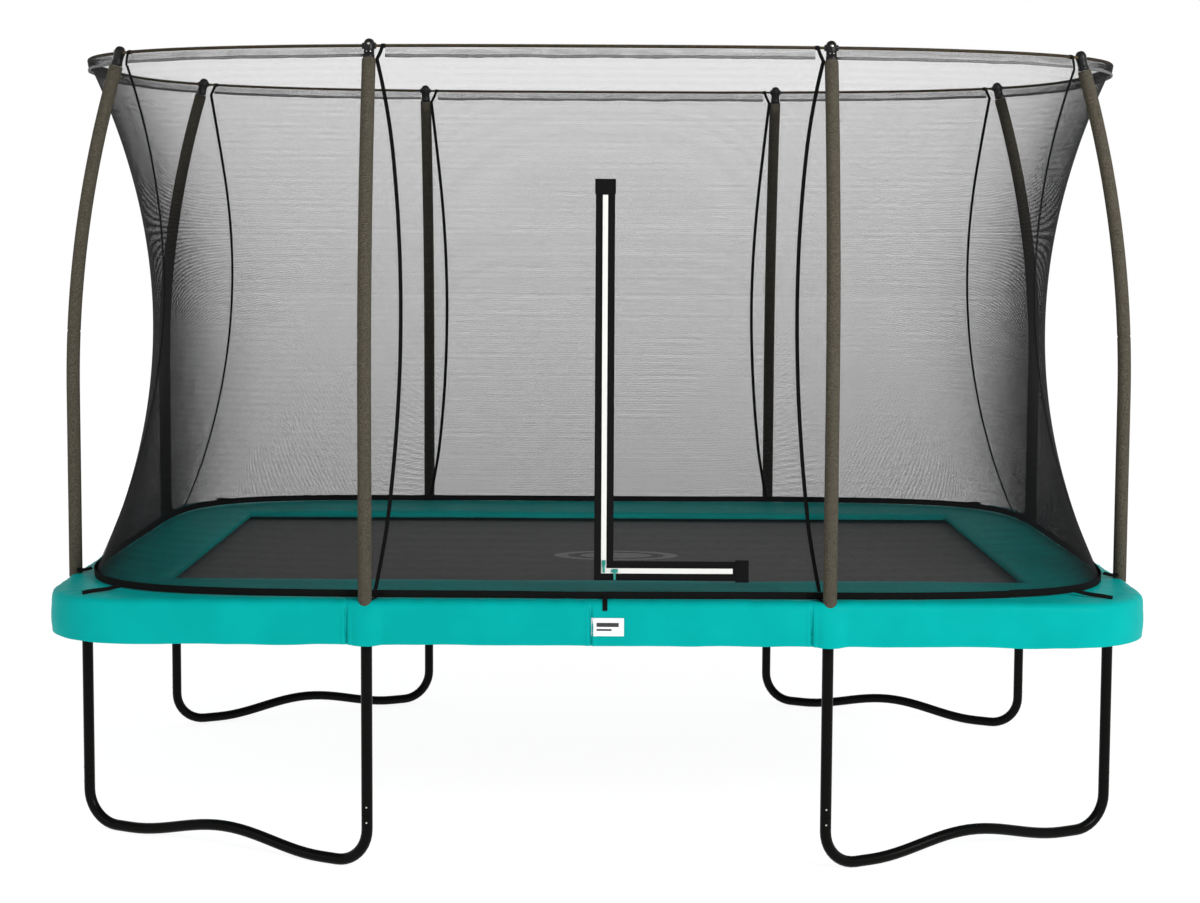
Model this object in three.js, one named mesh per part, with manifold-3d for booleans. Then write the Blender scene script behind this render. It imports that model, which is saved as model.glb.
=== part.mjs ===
// A rectangular garden trampoline with a safety net. Millimetres, +Z up, the long side along X.
// The origin is on the ground, under the middle of the jumping mat. The entrance side faces -Y.
import * as THREE from "three";
import { mergeVertices } from "three/addons/utils/BufferGeometryUtils.js";
import Module from "manifold-3d";

const wasm = await Module();
wasm.setup();

// ---- Driving dimensions ----

// Frame: a rounded rectangle of steel tube. The half sizes are to the tube's centre line.
const FRAME_HALF_X = 1810;
const FRAME_HALF_Y = 1200;
const FRAME_Z = 862;
const FRAME_CORNER = 200;
const RAIL_R = 21;
const RAIL_BORE_R = 19.3;
const RAIL_JOINT_X = 548; // where a corner rail meets the front or back rail
const RAIL_JOINT_Y = 520; // where a corner rail meets an end rail
const SPIGOT_LENGTH = 60;
const SPIGOT_CLEARANCE = 1.1;
const SPIGOT_WALL = 1.7;

// Legs: two uprights and one bent base at each corner of the frame.
const MID_LEG_X = 765;
const END_LEG_Y = 734;
const LEG_R = 19;
const LEG_BORE_R = 17.2;
const LEG_SPIGOT_R = 16.2;
const LEG_BEND = 118;
const LEG_JOINT_Z = 185;
const LEG_TOP_Z = 835;
const FOOT_LENGTH = 60;
const ARCH_HEIGHT = 55;
const SOCKET_R = 22;
const SOCKET_BORE_R = 20;
const SOCKET_LOW_Z = 758;

// Net poles: eight alike, outside the frame, straight and then bent inwards on an arc.
const POLE_OFFSET = 38; // from the leg's axis out to the pole's axis
const POLE_R = 12.5;
const POLE_BORE_R = 11;
const POLE_LOW_Z = 766;
const POLE_ARC_Z = 1560;
const POLE_ARC_R = 3950;
const POLE_ARC_STEPS = 4;
const POLE_SIDES = 6;
const HOLDER_R = 15.4;
const HOLDER_BORE_R = 13.4;
const HOLDER_LOW_Z = 778;
const HOLDER_HIGH_Z = 828;
const WEB_NEAR = 20.6; // a plate from the socket's wall to the holder's, measured from the leg's axis
const WEB_FAR = 24.6;
const WEB_WIDTH = 16;
const FOAM_R = 23;
const FOAM_BORE_R = 13.3;
const FOAM_SIDES = 10;
const FOAM_LOW_Z = 925;
const FOAM_TOP_Z = 2695;

// Pole caps, measured along the pole from the foam's top.
const CAP_R = 19.5;
const CAP_BORE_R = 14.2;
const CAP_BORE_DEPTH = 31;
const CAP_SHOULDER = 52;
const CAP_CROWN = 66; // where the domed end's flat top begins to round over
const CAP_CROWN_R = 12;
const CAP_LENGTH = 69;
const CAP_ROD_HEIGHT = 45;
const CAP_ROD_BORE_R = 8.6;
const POLE_IN_CAP = 30;

// Top ring: fibreglass rod bent into a superellipse that passes through the eight caps.
const RING_HALF_X = 1895;
const ROD_R = 5;
const ROD_SIDES = 6;
const ROD_STEPS = [4, 9, 5, 5, 9, 4]; // straight steps in each span of half the ring

// Safety net: from a hem on the pad up to the ring, drawn in at half height.
const HEM_HALF_X = 1800;
const HEM_HALF_Y = 1195;
const HEM_POWER = 5.5;
const HEM_Z = 921;
const NET_THICKNESS = 3;
const NET_UNDER_ROD = 1.5;
const NET_COLUMNS = 4; // in each span from pole to pole
const NET_ROWS = 5;
const WAIST = 0.1; // share by which the net is drawn in at half height
const FLAT_HALF_X = 500; // the long sides stay flat this far from their middle
const WAIST_FULL_X = 1400;
const NOTCH_HALF = 48; // half width of the net's cut-out round a cap
const NOTCH_LOW_Z = 2620;

// Entrance: an upright zip and a level zip that meet in a corner. The flap folds on the diagonal.
const ZIP_X = 20;
const ZIP_Z = 1010;
const ZIP_TOP_Z = 2250;
const ZIP_END_X = 450;
const ZIP_CUT = 0.5;
const FOLD_CLEARANCE = 3;
const SLIDER_WIDTH = 13;
const SLIDER_LENGTH = 24;
const SLIDER_DEPTH = 5;
const PULL_LENGTH = 30;
const PULL_WIDTH = 8;
const SLIDER_GAP = 0.8;
const SLIDER_UP_Z = 1034; // the sliders' middles when the zip is closed
const SLIDER_ACROSS_X = 56;

// Edge pad with its hanging skirt.
const PAD_HALF_X = 1876;
const PAD_HALF_Y = 1258;
const PAD_CORNER = 270;
const PAD_TOP_Z = 916;
const PAD_THICKNESS = 20;
const PAD_OPEN_X = 1500;
const PAD_OPEN_Y = 820;
const SKIRT_LOW_Z = 771;
const SKIRT_THICKNESS = 4;
const PAD_POLE_HOLE_R = 15;

// Jumping mat and springs.
const MAT_HALF_X = 1590;
const MAT_HALF_Y = 980;
const MAT_TOP_Z = 876;
const MAT_THICKNESS = 2.5;
const SPRING_WIDTH = 9; // of a plain bar with about a spring's steel in it
const SPRING_Z = 870;
const SPRING_STRIP = 4;
const SPRING_STRIP_HEIGHT = 10;
const SPRINGS_LONG = 28;
const SPRINGS_SHORT = 17;
const SPRING_SPREAD_X = 1500;
const SPRING_SPREAD_Y = 900;

const GAP = 0.3; // between neighbouring pieces
const TUBE_SIDES = 12;

// ---- Solids and sections ----

// A three.js geometry as a solid that can be joined and cut.
function solid(geometry) {
  const bare = geometry.index ? geometry.toNonIndexed() : geometry.clone();
  bare.deleteAttribute("normal");
  bare.deleteAttribute("uv");
  const merged = mergeVertices(bare, 1e-3);
  return new wasm.Manifold(
    new wasm.Mesh({
      numProp: 3,
      vertProperties: merged.attributes.position.array,
      triVerts: new Uint32Array(merged.index.array),
    }),
  );
}

// A solid as a three.js geometry.
function geometryOf(made) {
  const mesh = made.getMesh();
  const geometry = new THREE.BufferGeometry();
  geometry.setAttribute("position", new THREE.BufferAttribute(mesh.vertProperties, 3));
  geometry.setIndex(new THREE.BufferAttribute(mesh.triVerts, 1));
  geometry.computeVertexNormals();
  return geometry;
}

// A regular polygon, with flats facing along the section's own axes.
function polygon(radius, sides) {
  const step = (2 * Math.PI) / sides;
  const corner = (k) => new THREE.Vector2(Math.cos(step * (k + 0.5)), Math.sin(step * (k + 0.5)));
  return Array.from({ length: sides }, (_, k) => corner(k).multiplyScalar(radius));
}

// A tube's section: an outer polygon and, for a hollow tube, a bore.
function tubeSection(radius, boreRadius, sides = TUBE_SIDES) {
  const section = new THREE.Shape(polygon(radius, sides));
  if (boreRadius) section.holes.push(new THREE.Path(polygon(boreRadius, sides)));
  return section;
}

// A path through given stations, with one extrusion step from each station to the next.
class StationPath extends THREE.Curve {
  constructor(stations) {
    super();
    this.stations = stations;
  }
  getPoint(t, target = new THREE.Vector3()) {
    const last = this.stations.length - 1;
    const k = Math.min(Math.floor(t * last + 1e-9), last - 1);
    return target.lerpVectors(this.stations[k], this.stations[k + 1], t * last - k);
  }
  getPointAt(u, target) {
    return this.getPoint(u, target);
  }
  getTangentAt(u, target = new THREE.Vector3()) {
    const last = this.stations.length - 1;
    const k = Math.round(u * last);
    const before = this.stations[Math.max(k - 1, 0)];
    const after = this.stations[Math.min(k + 1, last)];
    const here = this.stations[k];
    const arriving = here.clone().sub(before).normalize();
    const leaving = after.clone().sub(here).normalize();
    return target.copy(arriving).add(leaving).normalize();
  }
}

function sweep(section, stations) {
  return new THREE.ExtrudeGeometry(section, {
    extrudePath: new StationPath(stations),
    steps: stations.length - 1,
    bevelEnabled: false,
  });
}

// An upright prism of a shape, from one height to another.
function prism(shape, low, high) {
  const settings = { depth: high - low, bevelEnabled: false, curveSegments: 6 };
  return new THREE.ExtrudeGeometry(shape, settings).translate(0, 0, low);
}

function uprightTube(x, y, low, high, radius, boreRadius) {
  return prism(tubeSection(radius, boreRadius), low, high).translate(x, y, 0);
}

function roundedRectangle(halfX, halfY, corner) {
  const shape = new THREE.Shape();
  shape.absarc(halfX - corner, halfY - corner, corner, 0, Math.PI / 2);
  shape.absarc(-halfX + corner, halfY - corner, corner, Math.PI / 2, Math.PI);
  shape.absarc(-halfX + corner, -halfY + corner, corner, Math.PI, 1.5 * Math.PI);
  shape.absarc(halfX - corner, -halfY + corner, corner, 1.5 * Math.PI, 2 * Math.PI);
  shape.closePath();
  return shape;
}

function rectangle(halfX, halfY) {
  return new THREE.Shape([
    new THREE.Vector2(-halfX, -halfY),
    new THREE.Vector2(halfX, -halfY),
    new THREE.Vector2(halfX, halfY),
    new THREE.Vector2(-halfX, halfY),
  ]);
}

// ---- Leg places and frame rails ----

// The two leg places of the +X +Y corner, each with the direction that points out of the frame.
const LEG_PLACES = [
  { name: "mid", x: MID_LEG_X, y: FRAME_HALF_Y, outX: 0, outY: 1 },
  { name: "end", x: FRAME_HALF_X, y: END_LEG_Y, outX: 1, outY: 0 },
];

// One corner rail of the +X +Y corner: a hollow bent tube with two leg sockets and two pole holders.
function cornerRail() {
  const stations = [new THREE.Vector3(RAIL_JOINT_X, FRAME_HALF_Y, FRAME_Z)];
  const bendSteps = 4;
  for (let k = 0; k <= bendSteps; k++) {
    const angle = (Math.PI / 2) * (1 - k / bendSteps);
    stations.push(
      new THREE.Vector3(
        FRAME_HALF_X - FRAME_CORNER + FRAME_CORNER * Math.cos(angle),
        FRAME_HALF_Y - FRAME_CORNER + FRAME_CORNER * Math.sin(angle),
        FRAME_Z,
      ),
    );
  }
  stations.push(new THREE.Vector3(FRAME_HALF_X, RAIL_JOINT_Y, FRAME_Z));
  let rail = solid(sweep(tubeSection(RAIL_R, RAIL_BORE_R), stations));
  for (const place of LEG_PLACES) {
    const socketTop = FRAME_Z - RAIL_R / 2;
    const socket = uprightTube(place.x, place.y, SOCKET_LOW_Z, socketTop, SOCKET_R, SOCKET_BORE_R);
    const centre = poleStation(place, HOLDER_LOW_Z);
    const holder = uprightTube(centre.x, centre.y, HOLDER_LOW_Z, HOLDER_HIGH_Z, HOLDER_R, HOLDER_BORE_R);
    const web = new THREE.BoxGeometry(
      place.outX ? WEB_FAR - WEB_NEAR : WEB_WIDTH,
      place.outY ? WEB_FAR - WEB_NEAR : WEB_WIDTH,
      HOLDER_HIGH_Z - HOLDER_LOW_Z,
    );
    const reach = (WEB_NEAR + WEB_FAR) / 2;
    const middleZ = (HOLDER_LOW_Z + HOLDER_HIGH_Z) / 2;
    web.translate(place.x + reach * place.outX, place.y + reach * place.outY, middleZ);
    rail = rail.add(solid(socket)).add(solid(holder)).add(solid(web));
  }
  return geometryOf(rail);
}

// A straight hollow rail along Z, centred, whose narrowed ends plug into the corner rails.
function straightRail(halfLength) {
  const spigotR = RAIL_BORE_R - SPIGOT_CLEARANCE;
  const boreR = spigotR - SPIGOT_WALL;
  const shoulder = halfLength - GAP;
  const tip = shoulder + SPIGOT_LENGTH;
  const profile = [
    [boreR, -tip],
    [spigotR, -tip],
    [spigotR, -shoulder],
    [RAIL_R, -shoulder],
    [RAIL_R, shoulder],
    [spigotR, shoulder],
    [spigotR, tip],
    [boreR, tip],
    [boreR, -tip],
  ].map(([r, h]) => new THREE.Vector2(r, h));
  return new THREE.LatheGeometry(profile, TUBE_SIDES);
}

// ---- Legs ----

const LEG_SPAN = Math.hypot(FRAME_HALF_X - MID_LEG_X, END_LEG_Y - FRAME_HALF_Y);
const LEG_TURN = Math.atan2(END_LEG_Y - FRAME_HALF_Y, FRAME_HALF_X - MID_LEG_X);

// The bent base from upright to upright, in its own XZ plane. The tube's lowest facets lie on Z 0.
function legBase() {
  const low = LEG_R * Math.cos(Math.PI / TUBE_SIDES);
  const half = [new THREE.Vector3(0, 0, LEG_JOINT_Z)];
  const bendSteps = 4;
  for (let k = 0; k <= bendSteps; k++) {
    const angle = (Math.PI / 2) * (k / bendSteps);
    const x = LEG_BEND * (1 - Math.cos(angle));
    half.push(new THREE.Vector3(x, 0, low + LEG_BEND * (1 - Math.sin(angle))));
  }
  const archStart = LEG_BEND + FOOT_LENGTH;
  const archSteps = 8;
  for (let k = 0; k <= archSteps / 2; k++) {
    const share = k / archSteps;
    half.push(
      new THREE.Vector3(
        archStart + (LEG_SPAN - 2 * archStart) * share,
        0,
        low + (ARCH_HEIGHT / 2) * (1 - Math.cos(2 * Math.PI * share)),
      ),
    );
  }
  const otherHalf = half
    .slice(0, -1)
    .reverse()
    .map((p) => new THREE.Vector3(LEG_SPAN - p.x, 0, p.z));
  let base = solid(sweep(tubeSection(LEG_R), [...half, ...otherHalf]));
  for (const x of [0, LEG_SPAN]) {
    base = base.add(solid(uprightTube(x, 0, LEG_JOINT_Z - 1, LEG_JOINT_Z + SPIGOT_LENGTH, LEG_SPIGOT_R)));
  }
  return geometryOf(base);
}

// ---- Net poles ----

// How far a pole has bent inwards at a height.
function poleInset(z) {
  const rise = Math.max(z - POLE_ARC_Z, 0);
  return POLE_ARC_R - Math.sqrt(POLE_ARC_R * POLE_ARC_R - rise * rise);
}

function poleStation(place, z) {
  const out = POLE_OFFSET - poleInset(z);
  return new THREE.Vector3(place.x + place.outX * out, place.y + place.outY * out, z);
}

// The direction of the pole's last step, up to the foam's top, which the cap goes on with.
function poleTopDirection(place) {
  const before = THREE.MathUtils.lerp(FOAM_TOP_Z, POLE_ARC_Z, 1 / POLE_ARC_STEPS);
  return poleStation(place, FOAM_TOP_Z).sub(poleStation(place, before)).normalize();
}

function poleStations(place, low) {
  const stations = [poleStation(place, low)];
  for (let k = 0; k <= POLE_ARC_STEPS; k++) {
    stations.push(poleStation(place, THREE.MathUtils.lerp(POLE_ARC_Z, FOAM_TOP_Z, k / POLE_ARC_STEPS)));
  }
  return stations;
}

function pole(place) {
  const stations = poleStations(place, POLE_LOW_Z);
  const top = stations[stations.length - 1].clone().addScaledVector(poleTopDirection(place), POLE_IN_CAP);
  return sweep(tubeSection(POLE_R, POLE_BORE_R, POLE_SIDES), [...stations, top]);
}

function poleFoam(place) {
  const section = new THREE.Shape(polygon(FOAM_R, FOAM_SIDES));
  section.holes.push(new THREE.Path(polygon(FOAM_BORE_R, POLE_SIDES)));
  return sweep(section, poleStations(place, FOAM_LOW_Z));
}

// Where the ring's rod crosses a pole's axis.
function rodCrossing(place) {
  return poleStation(place, FOAM_TOP_Z).addScaledVector(poleTopDirection(place), CAP_ROD_HEIGHT);
}

const RING_Z = rodCrossing(LEG_PLACES[0]).z;

// The cap on a pole's top: a bore for the pole below, a cross bore for the rod, and a domed end.
function poleCap(place, rodDirection) {
  const profile = [
    [0, CAP_BORE_DEPTH],
    [CAP_BORE_R, CAP_BORE_DEPTH],
    [CAP_BORE_R, 2 * GAP],
    [CAP_R, 2 * GAP],
    [CAP_R, CAP_SHOULDER],
    [CAP_CROWN_R, CAP_CROWN],
    [0, CAP_LENGTH],
  ].map(([r, h]) => new THREE.Vector2(r, h));
  const body = new THREE.LatheGeometry(profile, FOAM_SIDES);
  const up = new THREE.Vector3(0, 1, 0);
  body.applyQuaternion(new THREE.Quaternion().setFromUnitVectors(up, poleTopDirection(place)));
  const foot = poleStation(place, FOAM_TOP_Z);
  body.translate(foot.x, foot.y, foot.z);
  const boreLength = 4 * CAP_R;
  const bore = new THREE.CylinderGeometry(CAP_ROD_BORE_R, CAP_ROD_BORE_R, boreLength, FOAM_SIDES);
  bore.applyQuaternion(new THREE.Quaternion().setFromUnitVectors(up, rodDirection));
  const crossing = rodCrossing(place);
  bore.translate(crossing.x, crossing.y, crossing.z);
  return geometryOf(solid(body).subtract(solid(bore)));
}

// ---- Outlines of the ring and of the net's hem ----

// A quarter of a superellipse, from the middle of the long side to the middle of the end,
// marked where it passes the mid pole and the end pole.
function quarterOutline(halfX, halfY, power) {
  const points = [];
  const samples = 400;
  for (let k = 0; k <= samples; k++) {
    const angle = (Math.PI / 2) * (1 - k / samples);
    points.push(
      new THREE.Vector2(
        halfX * Math.max(Math.cos(angle), 0) ** (2 / power),
        halfY * Math.max(Math.sin(angle), 0) ** (2 / power),
      ),
    );
  }
  const lengths = [0];
  for (let k = 1; k <= samples; k++) lengths.push(lengths[k - 1] + points[k].distanceTo(points[k - 1]));
  const atMid = points.findIndex((p) => p.x >= MID_LEG_X);
  const atEnd = points.findIndex((p) => p.y <= END_LEG_Y);
  const toMid = (MID_LEG_X - points[atMid - 1].x) / (points[atMid].x - points[atMid - 1].x);
  const toEnd = (END_LEG_Y - points[atEnd - 1].y) / (points[atEnd].y - points[atEnd - 1].y);
  const marks = [
    0,
    THREE.MathUtils.lerp(lengths[atMid - 1], lengths[atMid], toMid),
    THREE.MathUtils.lerp(lengths[atEnd - 1], lengths[atEnd], toEnd),
    lengths[samples],
  ];
  return { points, lengths, marks };
}

// The outline's point at q: 0 is the long side's middle, 1 the mid pole, 2 the end pole
// and 3 the end's middle.
function outlinePoint(outline, q) {
  const span = Math.min(Math.floor(q), 2);
  const length = THREE.MathUtils.lerp(outline.marks[span], outline.marks[span + 1], q - span);
  const after = Math.max(
    outline.lengths.findIndex((l) => l >= length - 1e-9),
    1,
  );
  const share = (length - outline.lengths[after - 1]) / (outline.lengths[after] - outline.lengths[after - 1]);
  return outline.points[after - 1].clone().lerp(outline.points[after], share);
}

// Half width and power of the superellipse that passes over both poles of a corner.
function ringShape() {
  const mid = rodCrossing(LEG_PLACES[0]);
  const end = rodCrossing(LEG_PLACES[1]);
  const halfYFor = (power) => mid.y / (1 - (mid.x / RING_HALF_X) ** power) ** (1 / power);
  let low = 2;
  let high = 5;
  for (let k = 0; k < 50; k++) {
    const power = (low + high) / 2;
    const sum = (end.x / RING_HALF_X) ** power + (end.y / halfYFor(power)) ** power;
    if (sum > 1) low = power;
    else high = power;
  }
  return { halfY: halfYFor(low), power: low };
}

const ring = ringShape();
const RING_OUTLINE = quarterOutline(RING_HALF_X, ring.halfY, ring.power);
const HEM_OUTLINE = quarterOutline(HEM_HALF_X, HEM_HALF_Y, HEM_POWER);

// Folds a place round the whole outline into its quarter. The place s runs clockwise seen from above,
// from 0 at the front's middle, by 3 to each next middle of a side: left end, back, right end.
function quarterOf(s) {
  const turn = ((s % 12) + 12) % 12;
  if (turn <= 3) return { q: turn, x: -1, y: -1 };
  if (turn <= 6) return { q: 6 - turn, x: -1, y: 1 };
  if (turn <= 9) return { q: turn - 6, x: 1, y: 1 };
  return { q: 12 - turn, x: 1, y: -1 };
}

// ---- Top ring ----

// Half of the ring, from the middle of one long side to the middle of the other.
function ringRod(firstS) {
  const stations = [];
  ROD_STEPS.forEach((steps, span) => {
    for (let k = 0; k < steps; k++) stations.push(ringStation(firstS + span + k / steps));
  });
  stations.push(ringStation(firstS + ROD_STEPS.length));
  const side = Math.sign(stations[1].x);
  stations[0].x = (side * GAP) / 2;
  stations[stations.length - 1].x = (side * GAP) / 2;
  return sweep(new THREE.Shape(polygon(ROD_R, ROD_SIDES)), stations);
}

function ringStation(s) {
  const quarter = quarterOf(s);
  const p = outlinePoint(RING_OUTLINE, quarter.q);
  return new THREE.Vector3(quarter.x * p.x, quarter.y * p.y, RING_Z);
}

// ---- Safety net ----

const NET_TOP_Z = RING_Z - ROD_R - NET_UNDER_ROD;

// A point of the net at place s round the outline and share t of the height.
function netPoint(s, t) {
  const quarter = quarterOf(s);
  const hem = outlinePoint(HEM_OUTLINE, quarter.q);
  const top = outlinePoint(RING_OUTLINE, quarter.q);
  const p = hem.lerp(top, t);
  const drawn = WAIST * 4 * t * (1 - t);
  const drawnY = drawn * THREE.MathUtils.smoothstep(p.x, FLAT_HALF_X, WAIST_FULL_X);
  return new THREE.Vector3(
    quarter.x * p.x * (1 - drawn),
    quarter.y * p.y * (1 - drawnY),
    THREE.MathUtils.lerp(HEM_Z, NET_TOP_Z, t),
  );
}

// A point of the net's outer skin (side 1) or of its inner skin (side -1).
function netSkinPoint(s, t, side) {
  const small = 0.02;
  const along = netPoint(s + small, t).sub(netPoint(s - small, t));
  const up = netPoint(s, t + small).sub(netPoint(s, t - small));
  const out = up.cross(along).normalize();
  out.z = 0; // the sheet's own top and bottom stay level
  return netPoint(s, t).addScaledVector(out, (side * NET_THICKNESS) / 2);
}

// A stretch of the net as a thin sheet: an outer and an inner skin, both split into triangles alike,
// and a rim that joins them.
function netSheet(fromS, toS) {
  const columns = Math.round((toS - fromS) * NET_COLUMNS);
  const points = [];
  for (const side of [1, -1]) {
    for (let j = 0; j <= NET_ROWS; j++) {
      for (let k = 0; k <= columns; k++) {
        points.push(netSkinPoint(THREE.MathUtils.lerp(fromS, toS, k / columns), j / NET_ROWS, side));
      }
    }
  }
  const outer = (k, j) => j * (columns + 1) + k;
  const inner = (k, j) => outer(k, j) + (columns + 1) * (NET_ROWS + 1);
  const triangles = [];
  const quad = (a, b, c, d) => triangles.push(a, b, c, a, c, d);
  for (let j = 0; j < NET_ROWS; j++) {
    for (let k = 0; k < columns; k++) {
      triangles.push(outer(k, j), outer(k + 1, j + 1), outer(k + 1, j));
      triangles.push(outer(k, j), outer(k, j + 1), outer(k + 1, j + 1));
      triangles.push(inner(k, j), inner(k + 1, j), inner(k + 1, j + 1));
      triangles.push(inner(k, j), inner(k + 1, j + 1), inner(k, j + 1));
    }
    quad(outer(0, j), inner(0, j), inner(0, j + 1), outer(0, j + 1));
    quad(outer(columns, j + 1), inner(columns, j + 1), inner(columns, j), outer(columns, j));
  }
  for (let k = 0; k < columns; k++) {
    quad(outer(k + 1, 0), inner(k + 1, 0), inner(k, 0), outer(k, 0));
    quad(outer(k, NET_ROWS), inner(k, NET_ROWS), inner(k + 1, NET_ROWS), outer(k + 1, NET_ROWS));
  }
  const sheet = new THREE.BufferGeometry().setFromPoints(points);
  sheet.setIndex(triangles);
  return solid(sheet);
}

// The net's cut-outs round the caps and the leaning tops of the poles.
function capNotches() {
  const notches = [];
  for (const place of LEG_PLACES) {
    const crossing = rodCrossing(place);
    for (const x of [-1, 1]) {
      for (const y of [-1, 1]) {
        const notch = prism(rectangle(NOTCH_HALF, NOTCH_HALF), NOTCH_LOW_Z, RING_Z);
        notches.push(solid(notch.translate(x * crossing.x, y * crossing.y, 0)));
      }
    }
  }
  return notches;
}

const NOTCHES = capNotches();

function netPanel(fromS, toS) {
  const trim = 0.0002; // of a span, half the gap to the next panel
  return NOTCHES.reduce((panel, notch) => panel.subtract(notch), netSheet(fromS + trim, toS - trim));
}

// ---- Entrance ----

// The flap's triangle as a prism through the front of the net, grown by an amount on each side.
function flapCutter(zipGrowth, foldGrowth) {
  const width = ZIP_END_X - ZIP_X;
  const height = ZIP_TOP_Z - ZIP_Z;
  const slope = Math.hypot(width, height);
  const shape = new THREE.Shape([
    new THREE.Vector2(ZIP_X - zipGrowth, ZIP_Z - zipGrowth),
    new THREE.Vector2(ZIP_END_X + (foldGrowth * slope + zipGrowth * width) / height, ZIP_Z - zipGrowth),
    new THREE.Vector2(ZIP_X - zipGrowth, ZIP_TOP_Z + (foldGrowth * slope + zipGrowth * height) / width),
  ]);
  const cutter = prism(shape, 0, HEM_HALF_Y).rotateX(Math.PI / 2);
  return solid(cutter);
}

// The front of the net's lean, inwards towards its top, at the entrance.
const NET_LEAN = Math.atan2(HEM_HALF_Y - ring.halfY, NET_TOP_Z - HEM_Z);

// A zip slider's body, lying on the outside of the net and tapering downwards along the zip.
function zipSlider() {
  const outline = new THREE.Shape();
  outline.moveTo(-SLIDER_WIDTH / 2, SLIDER_LENGTH / 2);
  outline.lineTo(-SLIDER_WIDTH / 3, -SLIDER_LENGTH / 2);
  outline.lineTo(SLIDER_WIDTH / 3, -SLIDER_LENGTH / 2);
  outline.lineTo(SLIDER_WIDTH / 2, SLIDER_LENGTH / 2);
  return prism(outline, 0, SLIDER_DEPTH).rotateX(Math.PI / 2);
}

// The tab that hangs from a slider.
function zipPull() {
  return prism(rectangle(PULL_WIDTH / 2, PULL_LENGTH / 2), 0, SLIDER_DEPTH / 2).rotateX(Math.PI / 2);
}

// A slider at a point of the zip, turned by an angle about the net's normal, with its tab hanging down.
function sliderAt(x, z, turn) {
  const slider = solid(zipSlider().rotateY(turn));
  const pull = solid(zipPull().translate(0, -SLIDER_DEPTH / 2, -PULL_LENGTH / 2));
  const both = geometryOf(slider.add(pull));
  both.rotateX(-NET_LEAN);
  const t = (z - HEM_Z) / (NET_TOP_Z - HEM_Z);
  const surfaceY = -THREE.MathUtils.lerp(HEM_HALF_Y, ring.halfY, t);
  both.translate(x, surfaceY - NET_THICKNESS / 2 - SLIDER_GAP, z);
  return both;
}

// ---- Edge pad ----

// The whole pad with its skirt, before it is parted at the mitred corners.
function padWhole() {
  const innerX = PAD_HALF_X - SKIRT_THICKNESS;
  const innerY = PAD_HALF_Y - SKIRT_THICKNESS;
  const outer = prism(roundedRectangle(PAD_HALF_X, PAD_HALF_Y, PAD_CORNER), SKIRT_LOW_Z, PAD_TOP_Z);
  const under = prism(
    roundedRectangle(innerX, innerY, PAD_CORNER - SKIRT_THICKNESS),
    SKIRT_LOW_Z - 1,
    PAD_TOP_Z - PAD_THICKNESS,
  );
  let pad = solid(outer).subtract(solid(under));
  pad = pad.subtract(solid(prism(rectangle(PAD_OPEN_X, PAD_OPEN_Y), SKIRT_LOW_Z, PAD_TOP_Z + 1)));
  for (const place of LEG_PLACES) {
    for (const x of [-1, 1]) {
      for (const y of [-1, 1]) {
        const centre = poleStation(place, POLE_LOW_Z);
        const hole = uprightTube(x * centre.x, y * centre.y, SKIRT_LOW_Z - 1, PAD_TOP_Z + 1, PAD_POLE_HOLE_R);
        pad = pad.subtract(solid(hole));
      }
    }
  }
  return pad;
}

// The region of the plan that belongs to one side's pad: from the opening out past the corners,
// which are cut at 45 degrees.
function padSector(alongX) {
  const reach = PAD_HALF_X;
  const cut = GAP / 2;
  const points = alongX
    ? [
        [-PAD_OPEN_X + cut, PAD_OPEN_Y],
        [PAD_OPEN_X - cut, PAD_OPEN_Y],
        [PAD_OPEN_X + reach - cut, PAD_OPEN_Y + reach],
        [-PAD_OPEN_X - reach + cut, PAD_OPEN_Y + reach],
      ]
    : [
        [PAD_OPEN_X, PAD_OPEN_Y - cut],
        [PAD_OPEN_X, -PAD_OPEN_Y + cut],
        [PAD_OPEN_X + reach, -PAD_OPEN_Y - reach + cut],
        [PAD_OPEN_X + reach, PAD_OPEN_Y + reach - cut],
      ];
  const shape = new THREE.Shape(points.map(([x, y]) => new THREE.Vector2(x, y)));
  return prism(shape, SKIRT_LOW_Z - 1, PAD_TOP_Z + 1);
}

// ---- Jumping mat and springs ----

function jumpMat() {
  return prism(rectangle(MAT_HALF_X, MAT_HALF_Y), MAT_TOP_Z - MAT_THICKNESS, MAT_TOP_Z);
}

// All springs as plain bars on a thin strip that follows the mat's edge.
function springSet() {
  const innerX = MAT_HALF_X + GAP;
  const innerY = MAT_HALF_Y + GAP;
  const strip = rectangle(innerX + SPRING_STRIP, innerY + SPRING_STRIP);
  strip.holes.push(rectangle(innerX, innerY));
  const stripLow = SPRING_Z - SPRING_STRIP_HEIGHT / 2;
  const parts = [solid(prism(strip, stripLow, stripLow + SPRING_STRIP_HEIGHT))];
  const overlap = SPRING_STRIP / 2;
  const rowOf = (count, spread, from, to, place) => {
    for (let k = 0; k < count; k++) {
      const along = THREE.MathUtils.lerp(-spread, spread, k / (count - 1));
      const length = to - from;
      for (const side of [-1, 1]) {
        const bar = new THREE.BoxGeometry(SPRING_WIDTH, length, SPRING_WIDTH);
        parts.push(solid(place(bar, along, side * (from + length / 2))));
      }
    }
  };
  const railY = FRAME_HALF_Y - RAIL_R - 2 * GAP;
  const railX = FRAME_HALF_X - RAIL_R - 2 * GAP;
  rowOf(SPRINGS_LONG, SPRING_SPREAD_X, innerY + overlap, railY, (bar, along, across) =>
    bar.translate(along, across, SPRING_Z),
  );
  rowOf(SPRINGS_SHORT, SPRING_SPREAD_Y, innerX + overlap, railX, (bar, along, across) =>
    bar.rotateZ(Math.PI / 2).translate(across, along, SPRING_Z),
  );
  return geometryOf(parts.reduce((joined, part) => joined.add(part)));
}

// ---- Materials ----

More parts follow.
